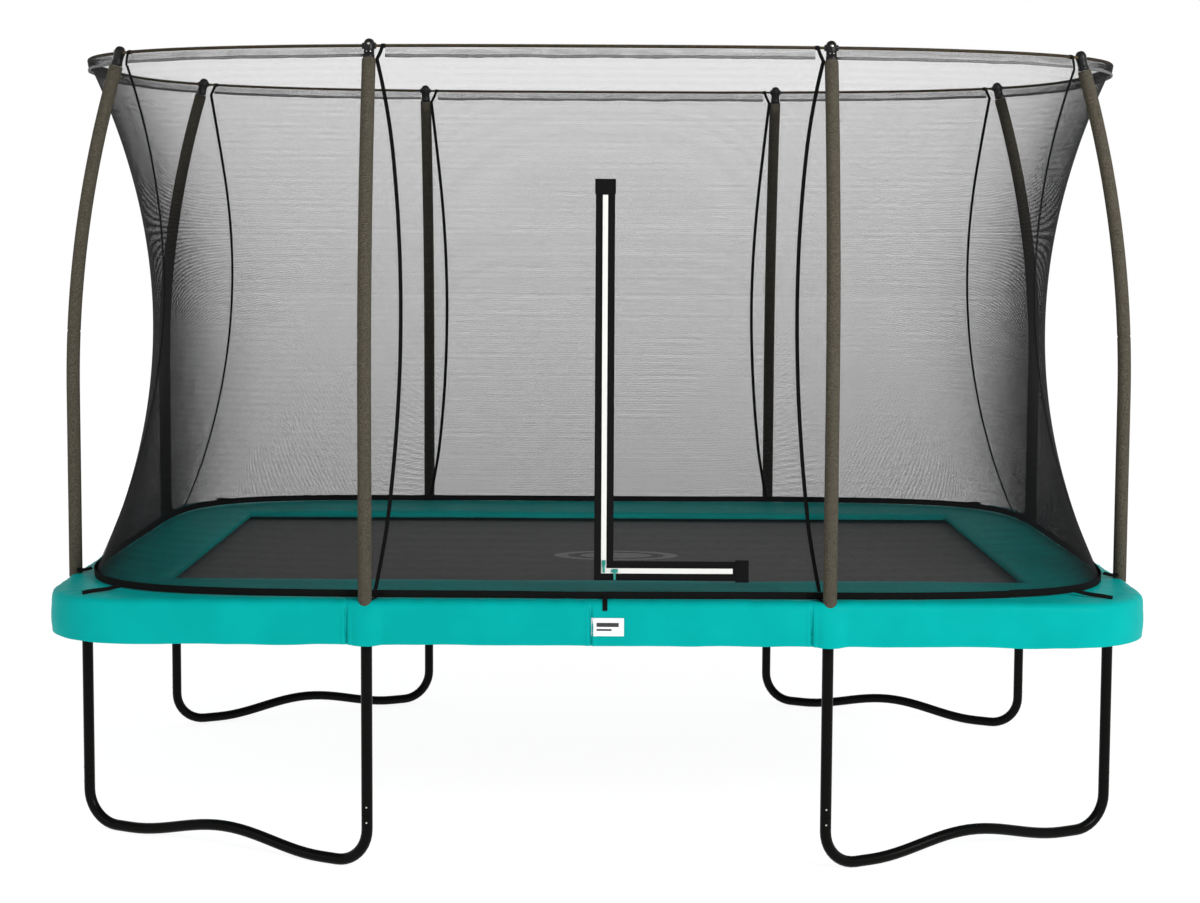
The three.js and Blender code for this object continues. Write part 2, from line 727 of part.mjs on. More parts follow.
function finish(color, roughness, metalness) {
  return new THREE.MeshStandardMaterial({ color, roughness, metalness });
}

const GALVANISED = finish(0x8d9094, 0.4, 1);
const BLACK_PAINT = finish(0x161614, 0.3, 0.2);
const FOAM = finish(0x4a463e, 0.9, 0);
const CAP_PLASTIC = finish(0x141414, 0.4, 0);
const FIBREGLASS = finish(0x8a8055, 0.5, 0);
const NET_MESH = finish(0x1b1b1c, 0.9, 0);
const ZIP_TEAL = finish(0x08a09c, 0.5, 0);
const PAD_COVER = finish(0x04b0ae, 0.45, 0);
const MAT_WEAVE = finish(0x343334, 0.8, 0);
const SPRING_STEEL = finish(0xb0b3b6, 0.3, 1);

// ---- Assembly ----

const trampoline = new THREE.Group();

function addMesh(parent, name, geometry, material) {
  const mesh = new THREE.Mesh(geometry, material);
  mesh.name = name;
  parent.add(mesh);
  return mesh;
}

const frontRail = addMesh(trampoline, "front_rail", straightRail(RAIL_JOINT_X), GALVANISED);
frontRail.position.set(0, -FRAME_HALF_Y, FRAME_Z);
frontRail.rotation.z = Math.PI / 2;
const backRail = addMesh(trampoline, "back_rail", straightRail(RAIL_JOINT_X), GALVANISED);
backRail.position.set(0, FRAME_HALF_Y, FRAME_Z);
backRail.rotation.z = Math.PI / 2;
const leftRail = addMesh(trampoline, "left_end_rail", straightRail(RAIL_JOINT_Y), GALVANISED);
leftRail.position.set(-FRAME_HALF_X, 0, FRAME_Z);
const rightRail = addMesh(trampoline, "right_end_rail", straightRail(RAIL_JOINT_Y), GALVANISED);
rightRail.position.set(FRAME_HALF_X, 0, FRAME_Z);

// The four corners are mirror images of the +X +Y corner.
const CORNERS = [
  { name: "front_left", x: -1, y: -1 },
  { name: "front_right", x: 1, y: -1 },
  { name: "back_left", x: -1, y: 1 },
  { name: "back_right", x: 1, y: 1 },
];
const railShape = cornerRail();
const baseShape = legBase();
const placeShapes = LEG_PLACES.map((place) => {
  const q = place.name === "mid" ? 1 : 2;
  const step = 0.01;
  const before = outlinePoint(RING_OUTLINE, q - step);
  const after = outlinePoint(RING_OUTLINE, q + step);
  const rodDirection = new THREE.Vector3(after.x - before.x, after.y - before.y, 0).normalize();
  return {
    place,
    upright: uprightTube(place.x, place.y, LEG_JOINT_Z + GAP, LEG_TOP_Z, LEG_R, LEG_BORE_R),
    pole: pole(place),
    foam: poleFoam(place),
    cap: poleCap(place, rodDirection),
  };
});
for (const corner of CORNERS) {
  const group = new THREE.Group();
  group.scale.set(corner.x, corner.y, 1);
  trampoline.add(group);
  addMesh(group, "corner_rail_" + corner.name, railShape, GALVANISED);
  const base = addMesh(group, "leg_base_" + corner.name, baseShape, BLACK_PAINT);
  base.position.set(MID_LEG_X, FRAME_HALF_Y, 0);
  base.rotation.z = LEG_TURN;
  for (const shapes of placeShapes) {
    const name = corner.name + "_" + shapes.place.name;
    addMesh(group, "leg_upright_" + name, shapes.upright, BLACK_PAINT);
    addMesh(group, "net_pole_" + name, shapes.pole, GALVANISED);
    addMesh(group, "pole_foam_" + name, shapes.foam, FOAM);
    addMesh(group, "pole_cap_" + name, shapes.cap, CAP_PLASTIC);
  }
}

addMesh(trampoline, "ring_rod_left", ringRod(0), FIBREGLASS);
addMesh(trampoline, "ring_rod_right", ringRod(6), FIBREGLASS);

const frontNet = netPanel(-1.5, 1.5);
addMesh(trampoline, "net_front", geometryOf(frontNet.subtract(flapCutter(0, 1))), NET_MESH);
addMesh(trampoline, "net_left", geometryOf(netPanel(1.5, 4.5)), NET_MESH);
addMesh(trampoline, "net_back", geometryOf(netPanel(4.5, 7.5)), NET_MESH);
addMesh(trampoline, "net_right", geometryOf(netPanel(7.5, 10.5)), NET_MESH);
addMesh(
  trampoline,
  "door_flap",
  geometryOf(frontNet.intersect(flapCutter(-ZIP_CUT, -FOLD_CLEARANCE))),
  NET_MESH,
);
addMesh(trampoline, "zip_slider_up", sliderAt(ZIP_X, SLIDER_UP_Z, 0), ZIP_TEAL);
addMesh(trampoline, "zip_slider_across", sliderAt(SLIDER_ACROSS_X, ZIP_Z, Math.PI / 2), ZIP_TEAL);

const wholePad = padWhole();
const longSector = solid(padSector(true));
const endSector = solid(padSector(false));
addMesh(trampoline, "pad_back", geometryOf(wholePad.intersect(longSector)), PAD_COVER);
addMesh(trampoline, "pad_front", geometryOf(wholePad.intersect(longSector.rotate([0, 0, 180]))), PAD_COVER);
addMesh(trampoline, "pad_right", geometryOf(wholePad.intersect(endSector)), PAD_COVER);
addMesh(trampoline, "pad_left", geometryOf(wholePad.intersect(endSector.rotate([0, 0, 180]))), PAD_COVER);

addMesh(trampoline, "jump_mat", jumpMat(), MAT_WEAVE);
addMesh(trampoline, "spring_set", springSet(), SPRING_STEEL);

export default trampoline;
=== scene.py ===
"""The looks of a rectangular garden trampoline with a safety net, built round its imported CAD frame.

Metres, +Z up, the long side along X, the entrance side facing -Y, the ground at Z 0."""

import math

import bmesh
import bpy
import numpy as np
from mathutils import Matrix, Vector, noise
from mathutils.bvhtree import BVHTree


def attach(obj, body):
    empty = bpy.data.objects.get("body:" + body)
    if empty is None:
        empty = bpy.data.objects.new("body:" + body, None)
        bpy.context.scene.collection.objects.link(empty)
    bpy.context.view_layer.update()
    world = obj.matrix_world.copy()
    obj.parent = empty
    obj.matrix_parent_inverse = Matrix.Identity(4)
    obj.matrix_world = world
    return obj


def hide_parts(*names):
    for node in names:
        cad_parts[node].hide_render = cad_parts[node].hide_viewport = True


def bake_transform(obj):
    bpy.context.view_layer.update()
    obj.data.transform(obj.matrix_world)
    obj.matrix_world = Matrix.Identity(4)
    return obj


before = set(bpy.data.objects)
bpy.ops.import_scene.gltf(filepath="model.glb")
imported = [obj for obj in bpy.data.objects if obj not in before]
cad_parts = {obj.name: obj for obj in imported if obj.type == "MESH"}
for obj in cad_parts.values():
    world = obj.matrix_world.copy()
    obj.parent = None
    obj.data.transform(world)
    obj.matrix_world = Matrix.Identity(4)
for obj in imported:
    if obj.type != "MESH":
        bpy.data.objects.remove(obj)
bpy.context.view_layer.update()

# ---- Dimensions, as in the CAD ----

FRAME_HALF_X, FRAME_HALF_Y, FRAME_Z, FRAME_CORNER = 1.81, 1.2, 0.862, 0.2
RAIL_R, RAIL_JOINT_X, RAIL_JOINT_Y = 0.021, 0.548, 0.52
MID_LEG_X, END_LEG_Y = 0.765, 0.734
LEG_R, LEG_BEND, LEG_JOINT_Z, LEG_TOP_Z = 0.019, 0.118, 0.185, 0.835
FOOT_LENGTH, ARCH_HEIGHT, SOCKET_R, SOCKET_LOW_Z = 0.06, 0.055, 0.022, 0.758
POLE_OFFSET, POLE_R, POLE_LOW_Z, POLE_ARC_Z, POLE_ARC_R = 0.038, 0.0125, 0.766, 1.56, 3.95
HOLDER_R, HOLDER_LOW_Z, HOLDER_HIGH_Z = 0.0154, 0.778, 0.828
FOAM_R, FOAM_LOW_Z, FOAM_TOP_Z, FOAM_JOINT_Z = 0.023, 0.9, 2.695, 1.772
CAP_R, CAP_LENGTH, CAP_ROD_HEIGHT = 0.0195, 0.069, 0.045
RING_HALF_X, ROD_R = 1.895, 0.005
HEM_HALF_X, HEM_HALF_Y, HEM_POWER, HEM_Z = 1.8, 1.195, 5.5, 0.921
WAIST, FLAT_HALF_X, WAIST_FULL_X = 0.1, 0.5, 1.4
ZIP_X, ZIP_Z, ZIP_TOP_Z, ZIP_END_X = 0.02, 1.01, 2.25, 0.45
PAD_HALF_X, PAD_HALF_Y, PAD_CORNER = 1.876, 1.258, 0.27
PAD_TOP_Z, PAD_OPEN_X, PAD_OPEN_Y, SKIRT_LOW_Z = 0.916, 1.5, 0.82, 0.771
MAT_HALF_X, MAT_HALF_Y, MAT_Z = 1.59, 0.98, 0.876
SPRING_Z, SPRINGS_LONG, SPRINGS_SHORT, SPREAD_X, SPREAD_Y = 0.866, 28, 17, 1.5, 0.9

CORNERS = {"front_left": (-1, -1), "front_right": (1, -1), "back_left": (-1, 1), "back_right": (1, 1)}
# Of the +X +Y corner: the leg's place, and which way is out of the frame there.
PLACES = {"mid": (MID_LEG_X, FRAME_HALF_Y, 0, 1), "end": (FRAME_HALF_X, END_LEG_Y, 1, 0)}


# ---- Materials ----


def material(name, colour, roughness, metallic=0.0, specular=0.5, ior=1.5):
    m = bpy.data.materials.new(name)
    m.use_nodes = True
    shader = m.node_tree.nodes["Principled BSDF"]
    shader.inputs["Base Color"].default_value = (*colour, 1)
    shader.inputs["Roughness"].default_value = roughness
    shader.inputs["Metallic"].default_value = metallic
    shader.inputs["Specular IOR Level"].default_value = specular
    shader.inputs["IOR"].default_value = ior
    return m


def node(m, kind, **settings):
    """A shader node of a material or a world, with its settings, and its inputs by name or number."""
    made = m.node_tree.nodes.new(kind)
    for key, value in settings.pop("inputs", {}).items():
        if isinstance(value, bpy.types.NodeSocket):
            m.node_tree.links.new(value, made.inputs[key])
        else:
            made.inputs[key].default_value = value
    for key, value in settings.items():
        setattr(made, key, value)
    return made


def maths(m, operation, a, b=0.0):
    return node(m, "ShaderNodeMath", operation=operation, inputs={0: a, 1: b}).outputs[0]


def to_shader(m, socket, value):
    m.node_tree.links.new(value, m.node_tree.nodes["Principled BSDF"].inputs[socket])


def grain(m, scale, detail=3.0, source="Object"):
    """Noise fixed to the surface, from 0 to 1."""
    place = node(m, "ShaderNodeTexCoord").outputs[source]
    made = node(m, "ShaderNodeTexNoise", inputs={"Vector": place, "Scale": scale, "Detail": detail})
    return made.outputs["Fac"]


def vary(m, scale, dark, light, detail=3.0):
    """Lets the base colour wander between two colours."""
    fac = grain(m, scale, detail)
    ramp = node(m, "ShaderNodeValToRGB", inputs={"Fac": fac})
    ramp.color_ramp.elements[0].position, ramp.color_ramp.elements[1].position = 0.35, 0.65
    ramp.color_ramp.elements[0].color = (*dark, 1)
    ramp.color_ramp.elements[1].color = (*light, 1)
    to_shader(m, "Base Color", ramp.outputs["Color"])
    return m


def bumped(m, height, distance, strength=1.0):
    made = node(m, "ShaderNodeBump", inputs={"Height": height, "Distance": distance, "Strength": strength})
    to_shader(m, "Normal", made.outputs["Normal"])
    return m


def weave(m, pitch_u, pitch_v, distance):
    """The relief of plain-woven threads, along the two texture directions."""
    place = node(m, "ShaderNodeUVMap", uv_map="UVMap").outputs["UV"]
    parts = node(m, "ShaderNodeSeparateXYZ", inputs={0: place})
    u = maths(m, "SINE", maths(m, "MULTIPLY", parts.outputs[0], 2 * math.pi / pitch_u))
    v = maths(m, "SINE", maths(m, "MULTIPLY", parts.outputs[1], 2 * math.pi / pitch_v))
    return bumped(m, maths(m, "MULTIPLY", u, v), distance)


NET_CELL = 0.0021  # the side of one cell of the mesh
NET_ROWS, NET_ROW_DEPTH = 0.024, 0.018  # the pitch and strength of the faint rows knitted across it
NET_OPEN_Z = 2.7  # where open_high is reached


def net_material(name, open_low, open_high):
    """Black knitted mesh. The share of each cell that is open goes from open_low at the hem to open_high
    at the ring, and its holes close up when the mesh is seen at a slant."""
    m = material(name, (0.005, 0.005, 0.0055), 0.75, specular=0.05)
    height = node(m, "ShaderNodeSeparateXYZ", inputs={0: node(m, "ShaderNodeTexCoord").outputs["Object"]})
    share = node(
        m,
        "ShaderNodeMapRange",
        inputs={"Value": height.outputs[2], 1: HEM_Z, 2: NET_OPEN_Z, 3: open_low, 4: open_high},
    ).outputs[0]
    place = node(m, "ShaderNodeUVMap", uv_map="UVMap").outputs["UV"]
    parts = node(m, "ShaderNodeSeparateXYZ", inputs={0: place})
    rows = maths(m, "SINE", maths(m, "MULTIPLY", parts.outputs[1], 2 * math.pi / NET_ROWS))
    share = maths(m, "ADD", share, maths(m, "MULTIPLY", rows, NET_ROW_DEPTH))
    facing = node(m, "ShaderNodeLayerWeight", inputs={"Blend": 0.5}).outputs["Facing"]
    slant = maths(m, "DIVIDE", 1.0, maths(m, "MAXIMUM", maths(m, "SUBTRACT", 1.0, facing), 0.1))
    half_hole = maths(m, "MULTIPLY", maths(m, "SQRT", maths(m, "POWER", share, slant)), 0.5)
    row = maths(m, "DIVIDE", parts.outputs[1], NET_CELL)
    shift = maths(m, "MULTIPLY", maths(m, "FLOOR", row), 0.5)
    column = maths(m, "ADD", maths(m, "DIVIDE", parts.outputs[0], NET_CELL), shift)
    inside = []
    for along in (column, row):
        off_centre = maths(m, "ABSOLUTE", maths(m, "SUBTRACT", maths(m, "FRACT", along), 0.5))
        inside.append(maths(m, "LESS_THAN", off_centre, half_hole))
    to_shader(m, "Alpha", maths(m, "SUBTRACT", 1.0, maths(m, "MULTIPLY", *inside)))
    return m


GALVANISED = material("galvanised_tube", (0.52, 0.53, 0.54), 0.36, 1.0)
vary(GALVANISED, 60, (0.44, 0.45, 0.46), (0.6, 0.61, 0.62))
PAINT = material("leg_paint", (0.003, 0.003, 0.0027), 0.24, specular=0.12, ior=1.3)
bumped(PAINT, grain(PAINT, 260), 0.00008)
FOAM = material("pole_foam", (0.07, 0.064, 0.048), 0.9, specular=0.04)
vary(FOAM, 330, (0.03, 0.026, 0.019), (0.108, 0.097, 0.073), 5)
bumped(FOAM, grain(FOAM, 420, 4), 0.0016)
CAP = material("cap_plastic", (0.006, 0.006, 0.006), 0.38, specular=0.2)
bumped(CAP, grain(CAP, 500), 0.0001)
ROD = material("fibreglass_rod", (0.05, 0.036, 0.015), 0.5, specular=0.2)
vary(ROD, 90, (0.035, 0.025, 0.01), (0.07, 0.05, 0.022))
NET = net_material("net_mesh", 0.548, 0.77)
SLEEVE = net_material("net_sleeve", 0.74, 0.79)
NET_SEAM = material("net_seam", (0.05, 0.05, 0.052), 0.85, specular=0.2)
vary(NET_SEAM, 300, (0.05, 0.05, 0.052), (0.24, 0.24, 0.245), 5)
TAPE = material("zip_black", (0.006, 0.006, 0.006), 0.8, specular=0.06)
weave(TAPE, 0.0016, 0.0012, 0.0002)
WHITE_TAPE = material("zip_white", (0.72, 0.72, 0.69), 0.7, specular=0.1)
weave(WHITE_TAPE, 0.002, 0.002, 0.0002)
TEAL_PLASTIC = material("zip_teal", (0.004, 0.24, 0.19), 0.35)
bumped(TEAL_PLASTIC, grain(TEAL_PLASTIC, 300), 0.0001)
PAD = material("pad_cover", (0.0008, 0.325, 0.305), 0.45, specular=0.02)
vary(PAD, 6, (0.0007, 0.318, 0.299), (0.0009, 0.344, 0.324), 2)
bumped(PAD, grain(PAD, 900, 2), 0.00015)
# The stitches' dark teal is partly the thread's own colour and partly painted shade of the seam's groove.
STITCH_THREAD_AND_SEAM_SHADE = material("pad_stitching_and_painted_shade", (0.001, 0.12, 0.12), 0.7, specular=0.1)
MAT = material("mat_weave", (0.16, 0.159, 0.16), 0.75, specular=0.15)
vary(MAT, 70, (0.14, 0.139, 0.14), (0.18, 0.179, 0.18), 6)
weave(MAT, 0.003, 0.003, 0.0003)
PRINT = material("mat_print", (0.33, 0.33, 0.33), 0.7, specular=0.2)
weave(PRINT, 0.003, 0.003, 0.0003)
LABEL = material("label_white", (0.78, 0.78, 0.8), 0.5, specular=0.3)
weave(LABEL, 0.001, 0.001, 0.0001)
LABEL_MARK = material("label_mark", (0.02, 0.02, 0.02), 0.5)
STEEL = material("spring_steel", (0.6, 0.61, 0.62), 0.3, 1.0)
vary(STEEL, 120, (0.5, 0.51, 0.52), (0.68, 0.69, 0.7))
SCREW = material("screw_steel", (0.62, 0.6, 0.52), 0.3, 1.0)
vary(SCREW, 200, (0.55, 0.53, 0.46), (0.68, 0.66, 0.58))


# ---- Meshes ----


def turned_frames(path, closed=False):
    """Two directions across a path at each of its points, turning no more than the path makes them."""
    path = np.asarray(path, float)
    if closed:
        tangents = np.roll(path, -1, 0) - np.roll(path, 1, 0)
    else:
        tangents = np.gradient(path, axis=0)
    tangents /= np.linalg.norm(tangents, axis=1)[:, None]
    first = np.cross(tangents[0], (0, 0, 1))
    if np.linalg.norm(first) < 1e-3:
        first = np.cross(tangents[0], (0, 1, 0))
    normals = [first / np.linalg.norm(first)]
    for t in tangents[1:]:
        n = normals[-1] - t * (normals[-1] @ t)
        normals.append(n / np.linalg.norm(n))
    normals = np.array(normals)
    return normals, np.cross(tangents, normals), tangents


def noise_at(x, y, z):
    """Noise at many places at once, from -1 to 1."""
    x, y, z = np.broadcast_arrays(x, y, z)
    values = [noise.noise(Vector(place)) for place in zip(x.ravel(), y.ravel(), z.ravel())]
    return np.array(values).reshape(x.shape)


def lengths_along(points):
    steps = np.linalg.norm(np.diff(points, axis=0), axis=1)
    return np.concatenate([[0], np.cumsum(steps)])


def curve_through(points, steps):
    """A smooth curve through points, with so many steps between each two."""
    p = np.asarray(points, float)
    p = np.vstack([2 * p[0] - p[1], p, 2 * p[-1] - p[-2]])
    made = []
    for k in range(1, len(p) - 2):
        for t in np.linspace(0, 1, steps, endpoint=False):
            a, b, c, d = p[k - 1 : k + 3]
            square, cube = 2 * a - 5 * b + 4 * c - d, 3 * b - a - 3 * c + d
            made.append(0.5 * (2 * b + (c - a) * t + square * t**2 + cube * t**3))
    made.append(p[-2])
    return np.array(made)


class Shape:
    """A mesh in the making."""

    def __init__(self):
        self.points, self.faces, self.places, self.slots = [], [], [], []

    def grid(self, rows, slot=0, wrap=False, places=None):
        """Quads between rows of points. wrap joins each row's end to its start."""
        rows = np.asarray(rows, float)
        n, m = rows.shape[:2]
        base = len(self.points)
        self.points.extend(rows.reshape(-1, 3).tolist())
        if places is None:
            ring = np.vstack([rows[n // 2], rows[n // 2][:1]]) if wrap else rows[n // 2]
            u = lengths_along(ring)
            v = lengths_along(rows[:, m // 2])
            places = np.stack(np.meshgrid(u, v), axis=2)
        for i in range(n - 1):
            for j in range(m if wrap else m - 1):
                k = (j + 1) % m
                corner = base + i * m
                self.faces.append((corner + j, corner + k, corner + m + k, corner + m + j))
                self.places.extend(
                    (places[i, j], places[i, j + 1], places[i + 1, j + 1], places[i + 1, j])
                )
                self.slots.append(slot)
        return self

    def face(self, points, slot=0):
        """One flat face, its texture laid out along its first edge."""
        p = np.asarray(points, float)
        base = len(self.points)
        self.points.extend(p.tolist())
        self.faces.append(tuple(range(base, base + len(p))))
        along = p[1] - p[0]
        along /= max(np.linalg.norm(along), 1e-9)
        normal = np.cross(along, p[-1] - p[0])
        across = np.cross(normal / max(np.linalg.norm(normal), 1e-12), along)
        self.places.extend([((q - p[0]) @ along, (q - p[0]) @ across) for q in p])
        self.slots.append(slot)
        return self

    def tube(self, path, radius, sides=20, slot=0, closed=False, ends=True):
        """A round tube along a path. radius is a number, or one for each point."""
        path = np.asarray(path, float)
        across, up, _ = turned_frames(path, closed)
        angle = np.arange(sides) * 2 * math.pi / sides
        radii = np.broadcast_to(np.asarray(radius, float), len(path))
        rings = path[:, None] + radii[:, None, None] * (
            across[:, None] * np.cos(angle)[None, :, None] + up[:, None] * np.sin(angle)[None, :, None]
        )
        if closed:
            rings = np.concatenate([rings, rings[:1]])
        self.grid(rings, slot, wrap=True)
        if ends and not closed:
            self.face(rings[0][::-1], slot)
            self.face(rings[-1], slot)
        return self

    def turned(self, profile, origin, axis=(0, 0, 1), sides=28, slot=0):
        """A profile of (radius, height) points turned about an axis."""
        axis = Vector(axis).normalized()
        across = np.array(axis.orthogonal().normalized())
        other = np.cross(np.array(axis), across)
        angle = np.arange(sides) * 2 * math.pi / sides
        ring = across * np.cos(angle)[:, None] + other * np.sin(angle)[:, None]
        rows = [np.array(origin) + np.array(axis) * h + ring * max(r, 1e-5) for r, h in profile]
        return self.grid(rows, slot, wrap=True)

    def block(self, centre, size, turn=None, slot=0):
        """A box, turned by a matrix about its middle."""
        turn = turn or Matrix.Identity(3)
        at = lambda x, y, z: Vector(centre) + turn @ Vector((x * size[0], y * size[1], z * size[2])) / 2
        for axis in range(3):
            for side in (-1, 1):
                ring = [(-1, -1), (1, -1), (1, 1), (-1, 1)][:: side]
                corners = []
                for a, b in ring:
                    place = [a, b]
                    place.insert(axis, side)
                    corners.append(at(*place))
                self.face(corners, slot)
        return self

    def strip(self, path, across, width, thickness, slot=0):
        """A flat tape along a path. across is its width's direction, one or one for each point."""
        path = np.asarray(path, float)
        across = np.broadcast_to(np.asarray(across, float), path.shape)
        tangents = np.gradient(path, axis=0)
        out = np.cross(across, tangents)
        out /= np.linalg.norm(out, axis=1)[:, None]
        w, h = across * width / 2, out * thickness / 2
        corners = [path - w - h, path + w - h, path + w + h, path - w + h]
        rows = np.stack(corners, axis=1)
        self.grid(rows, slot, wrap=True)
        self.face(rows[0][::-1], slot)
        self.face(rows[-1], slot)
        return self

    def piece(self, name, *materials, replaces=None, sharp=35, weld=True, body="frame"):
        """The finished mesh as an object that rides on a body. Without a body, it isn't declared yet."""
        mesh = bpy.data.meshes.new(name)
        mesh.from_pydata(self.points, [], self.faces)
        layer = mesh.uv_layers.new(name="UVMap")
        layer.data.foreach_set("uv", np.asarray(self.places, np.float32).ravel())
        mesh.polygons.foreach_set("material_index", self.slots)
        for m in materials:
            mesh.materials.append(m)
        if weld:
            bm = bmesh.new()
            bm.from_mesh(mesh)
            bmesh.ops.remove_doubles(bm, verts=bm.verts, dist=2e-6)
            bmesh.ops.recalc_face_normals(bm, faces=bm.faces)
            bm.to_mesh(mesh)
            bm.free()
        mesh.shade_smooth()
        mesh.set_sharp_from_angle(angle=math.radians(sharp))
        made = bpy.data.objects.new(name, mesh)
        bpy.context.scene.collection.objects.link(made)
        if body:
            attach(made, body)
            declare(replaces)
        return made


def declare(replaces=None):
    """Hides the CAD node that a piece stands for, if one is given."""
    if replaces:
        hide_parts(replaces)


def ribbon(name, path, across, width, thickness, rests_on, held="hung", **more):
    """A flat black strap or tape along a path."""
    made = Shape().strip(path, across, width, thickness).piece(name, TAPE)


def mirrored(points, corner):
    """Points of the +X +Y corner brought to another corner."""
    x, y = CORNERS[corner]
    return np.asarray(points, float) * (x, y, 1)


# ---- The frame ----


def frame_outline(steps=10):
    """The rail's centre line of the +X +Y corner, from the long side's joint to the end's joint."""
    points = [(RAIL_JOINT_X, FRAME_HALF_Y, FRAME_Z)]
    for k in range(steps + 1):
        angle = math.pi / 2 * (1 - k / steps)
        x = FRAME_HALF_X - FRAME_CORNER + FRAME_CORNER * math.cos(angle)
        y = FRAME_HALF_Y - FRAME_CORNER + FRAME_CORNER * math.sin(angle)
        points.append((x, y, FRAME_Z))
    points.append((FRAME_HALF_X, RAIL_JOINT_Y, FRAME_Z))
    return np.array(points)


def pole_point(place, z):
    x, y, out_x, out_y = PLACES[place]
    rise = max(z - POLE_ARC_Z, 0)
    out = POLE_OFFSET - (POLE_ARC_R - math.sqrt(POLE_ARC_R**2 - rise**2))
    return np.array((x + out_x * out, y + out_y * out, z))


def build_frame():
    for corner in CORNERS:
        rail = Shape()
        rail.tube(mirrored(frame_outline(), corner), RAIL_R, 24)
        for place, (x, y, out_x, out_y) in PLACES.items():
            foot = mirrored((x, y, 0), corner)
            profile = [(LEG_R + 0.0004, SOCKET_LOW_Z), (SOCKET_R, SOCKET_LOW_Z), (SOCKET_R, FRAME_Z - 0.012)]
            rail.turned(profile, foot)
            out = mirrored((out_x, out_y, 0), corner)
            for z in (HOLDER_LOW_Z + 0.008, HOLDER_HIGH_Z - 0.008):
                centre = mirrored(pole_point(place, z), corner)
                bore, half = POLE_R + 0.0004, 0.006
                rail.turned([(bore, -half), (HOLDER_R, -half), (HOLDER_R, half), (bore, half)], centre)
                middle = (centre + foot + (0, 0, z)) / 2
                turn = Vector(out).to_track_quat("X", "Z").to_matrix()
                rail.block(middle + out * 0.0035, (0.016, 0.012, 0.012), turn)
                side = np.cross(out, (0, 0, 1))
                rail.turned(
                    [(0, 0.011), (0.005, 0.0095), (0.0055, 0.006), (0.0055, -0.008), (0, -0.008)],
                    middle + out * 0.0035,
                    side,
                    12,
                    1,
                )
        rail.piece("rail_" + corner, GALVANISED, SCREW, replaces="corner_rail_" + corner)
    straight = {
        "front_rail": ((-RAIL_JOINT_X, -FRAME_HALF_Y), (RAIL_JOINT_X, -FRAME_HALF_Y)),
        "back_rail": ((-RAIL_JOINT_X, FRAME_HALF_Y), (RAIL_JOINT_X, FRAME_HALF_Y)),
        "left_end_rail": ((-FRAME_HALF_X, -RAIL_JOINT_Y), (-FRAME_HALF_X, RAIL_JOINT_Y)),
        "right_end_rail": ((FRAME_HALF_X, -RAIL_JOINT_Y), (FRAME_HALF_X, RAIL_JOINT_Y)),
    }
    for name, (start, end) in straight.items():
        a, b = np.array((*start, FRAME_Z)), np.array((*end, FRAME_Z))
        seam = (b - a) / np.linalg.norm(b - a) * 0.0004
        Shape().tube([a + seam, b - seam], RAIL_R, 24).piece(name + "_tube", GALVANISED, replaces=name)


# ---- The legs ----

LEG_SPAN = math.hypot(FRAME_HALF_X - MID_LEG_X, FRAME_HALF_Y - END_LEG_Y)


def leg_base_line():
    """The centre line of a base in the +X +Y corner, from the mid upright to the end upright."""
    half = [(0, LEG_JOINT_Z - 0.0004), (0, LEG_R + LEG_BEND + 0.02)]
    for k in range(11):
        angle = math.pi / 2 * k / 10
        half.append((LEG_BEND * (1 - math.cos(angle)), LEG_R + LEG_BEND * (1 - math.sin(angle))))
    arch_start = LEG_BEND + FOOT_LENGTH
    for share in np.linspace(0, 0.5, 13):
        x = arch_start + (LEG_SPAN - 2 * arch_start) * share
        half.append((x, LEG_R + ARCH_HEIGHT / 2 * (1 - math.cos(2 * math.pi * share))))
    whole = half + [(LEG_SPAN - x, z) for x, z in half[-2::-1]]
    along = np.array((FRAME_HALF_X - MID_LEG_X, END_LEG_Y - FRAME_HALF_Y, 0)) / LEG_SPAN
    start = np.array((MID_LEG_X, FRAME_HALF_Y, 0))
    return np.array([start + along * x + (0, 0, z) for x, z in whole])


def screw(shape, point, out, radius=0.0042, slot=1):
    """A domed screw head on a surface."""
    profile = [(radius, 0), (radius, radius * 0.25), (radius * 0.75, radius * 0.6), (0, radius * 0.78)]
    return shape.turned(profile, np.array(point) - np.array(out) * 0.0006, out, 14, slot)


def build_legs():
    for corner in CORNERS:
        base = Shape().tube(mirrored(leg_base_line(), corner), LEG_R, 28)
        for place, (x, y, out_x, out_y) in PLACES.items():
            foot = mirrored((x, y, 0), corner)
            base.turned([(LEG_R - 0.0016, LEG_JOINT_Z - 0.002), (LEG_R - 0.0016, LEG_JOINT_Z + 0.03)], foot)
            out = mirrored((out_x, out_y, 0), corner)
            screw(base, foot + out * LEG_R + (0, 0, LEG_JOINT_Z - 0.022), out, 0.0036)
        base.piece("base_" + corner, PAINT, SCREW, replaces="leg_base_" + corner)
        for place, (x, y, out_x, out_y) in PLACES.items():
            name = corner + "_" + place
            foot = mirrored((x, y, 0), corner)
            low, edge = LEG_JOINT_Z + 0.0006, 0.0008
            profile = [(LEG_R - 0.002, low), (LEG_R - edge, low), (LEG_R, low + edge), (LEG_R, LEG_TOP_Z)]
            upright = Shape().turned(profile, foot, sides=32)
            out = mirrored((out_x, out_y, 0), corner)
            screw(upright, foot + out * LEG_R + (0, 0, LEG_JOINT_Z + 0.03), out, 0.0036)
            upright.piece("upright_" + name, PAINT, SCREW, replaces="leg_upright_" + name)


# ---- The net poles ----


def pole_top(place):
    """The foam's top on the pole's axis, and the direction in which the cap goes on."""
    before = FOAM_TOP_Z + (POLE_ARC_Z - FOAM_TOP_Z) / 4
    top = pole_point(place, FOAM_TOP_Z)
    direction = top - pole_point(place, before)
    return top, direction / np.linalg.norm(direction)


def rod_crossing(place):
    top, direction = pole_top(place)
    return top + direction * CAP_ROD_HEIGHT


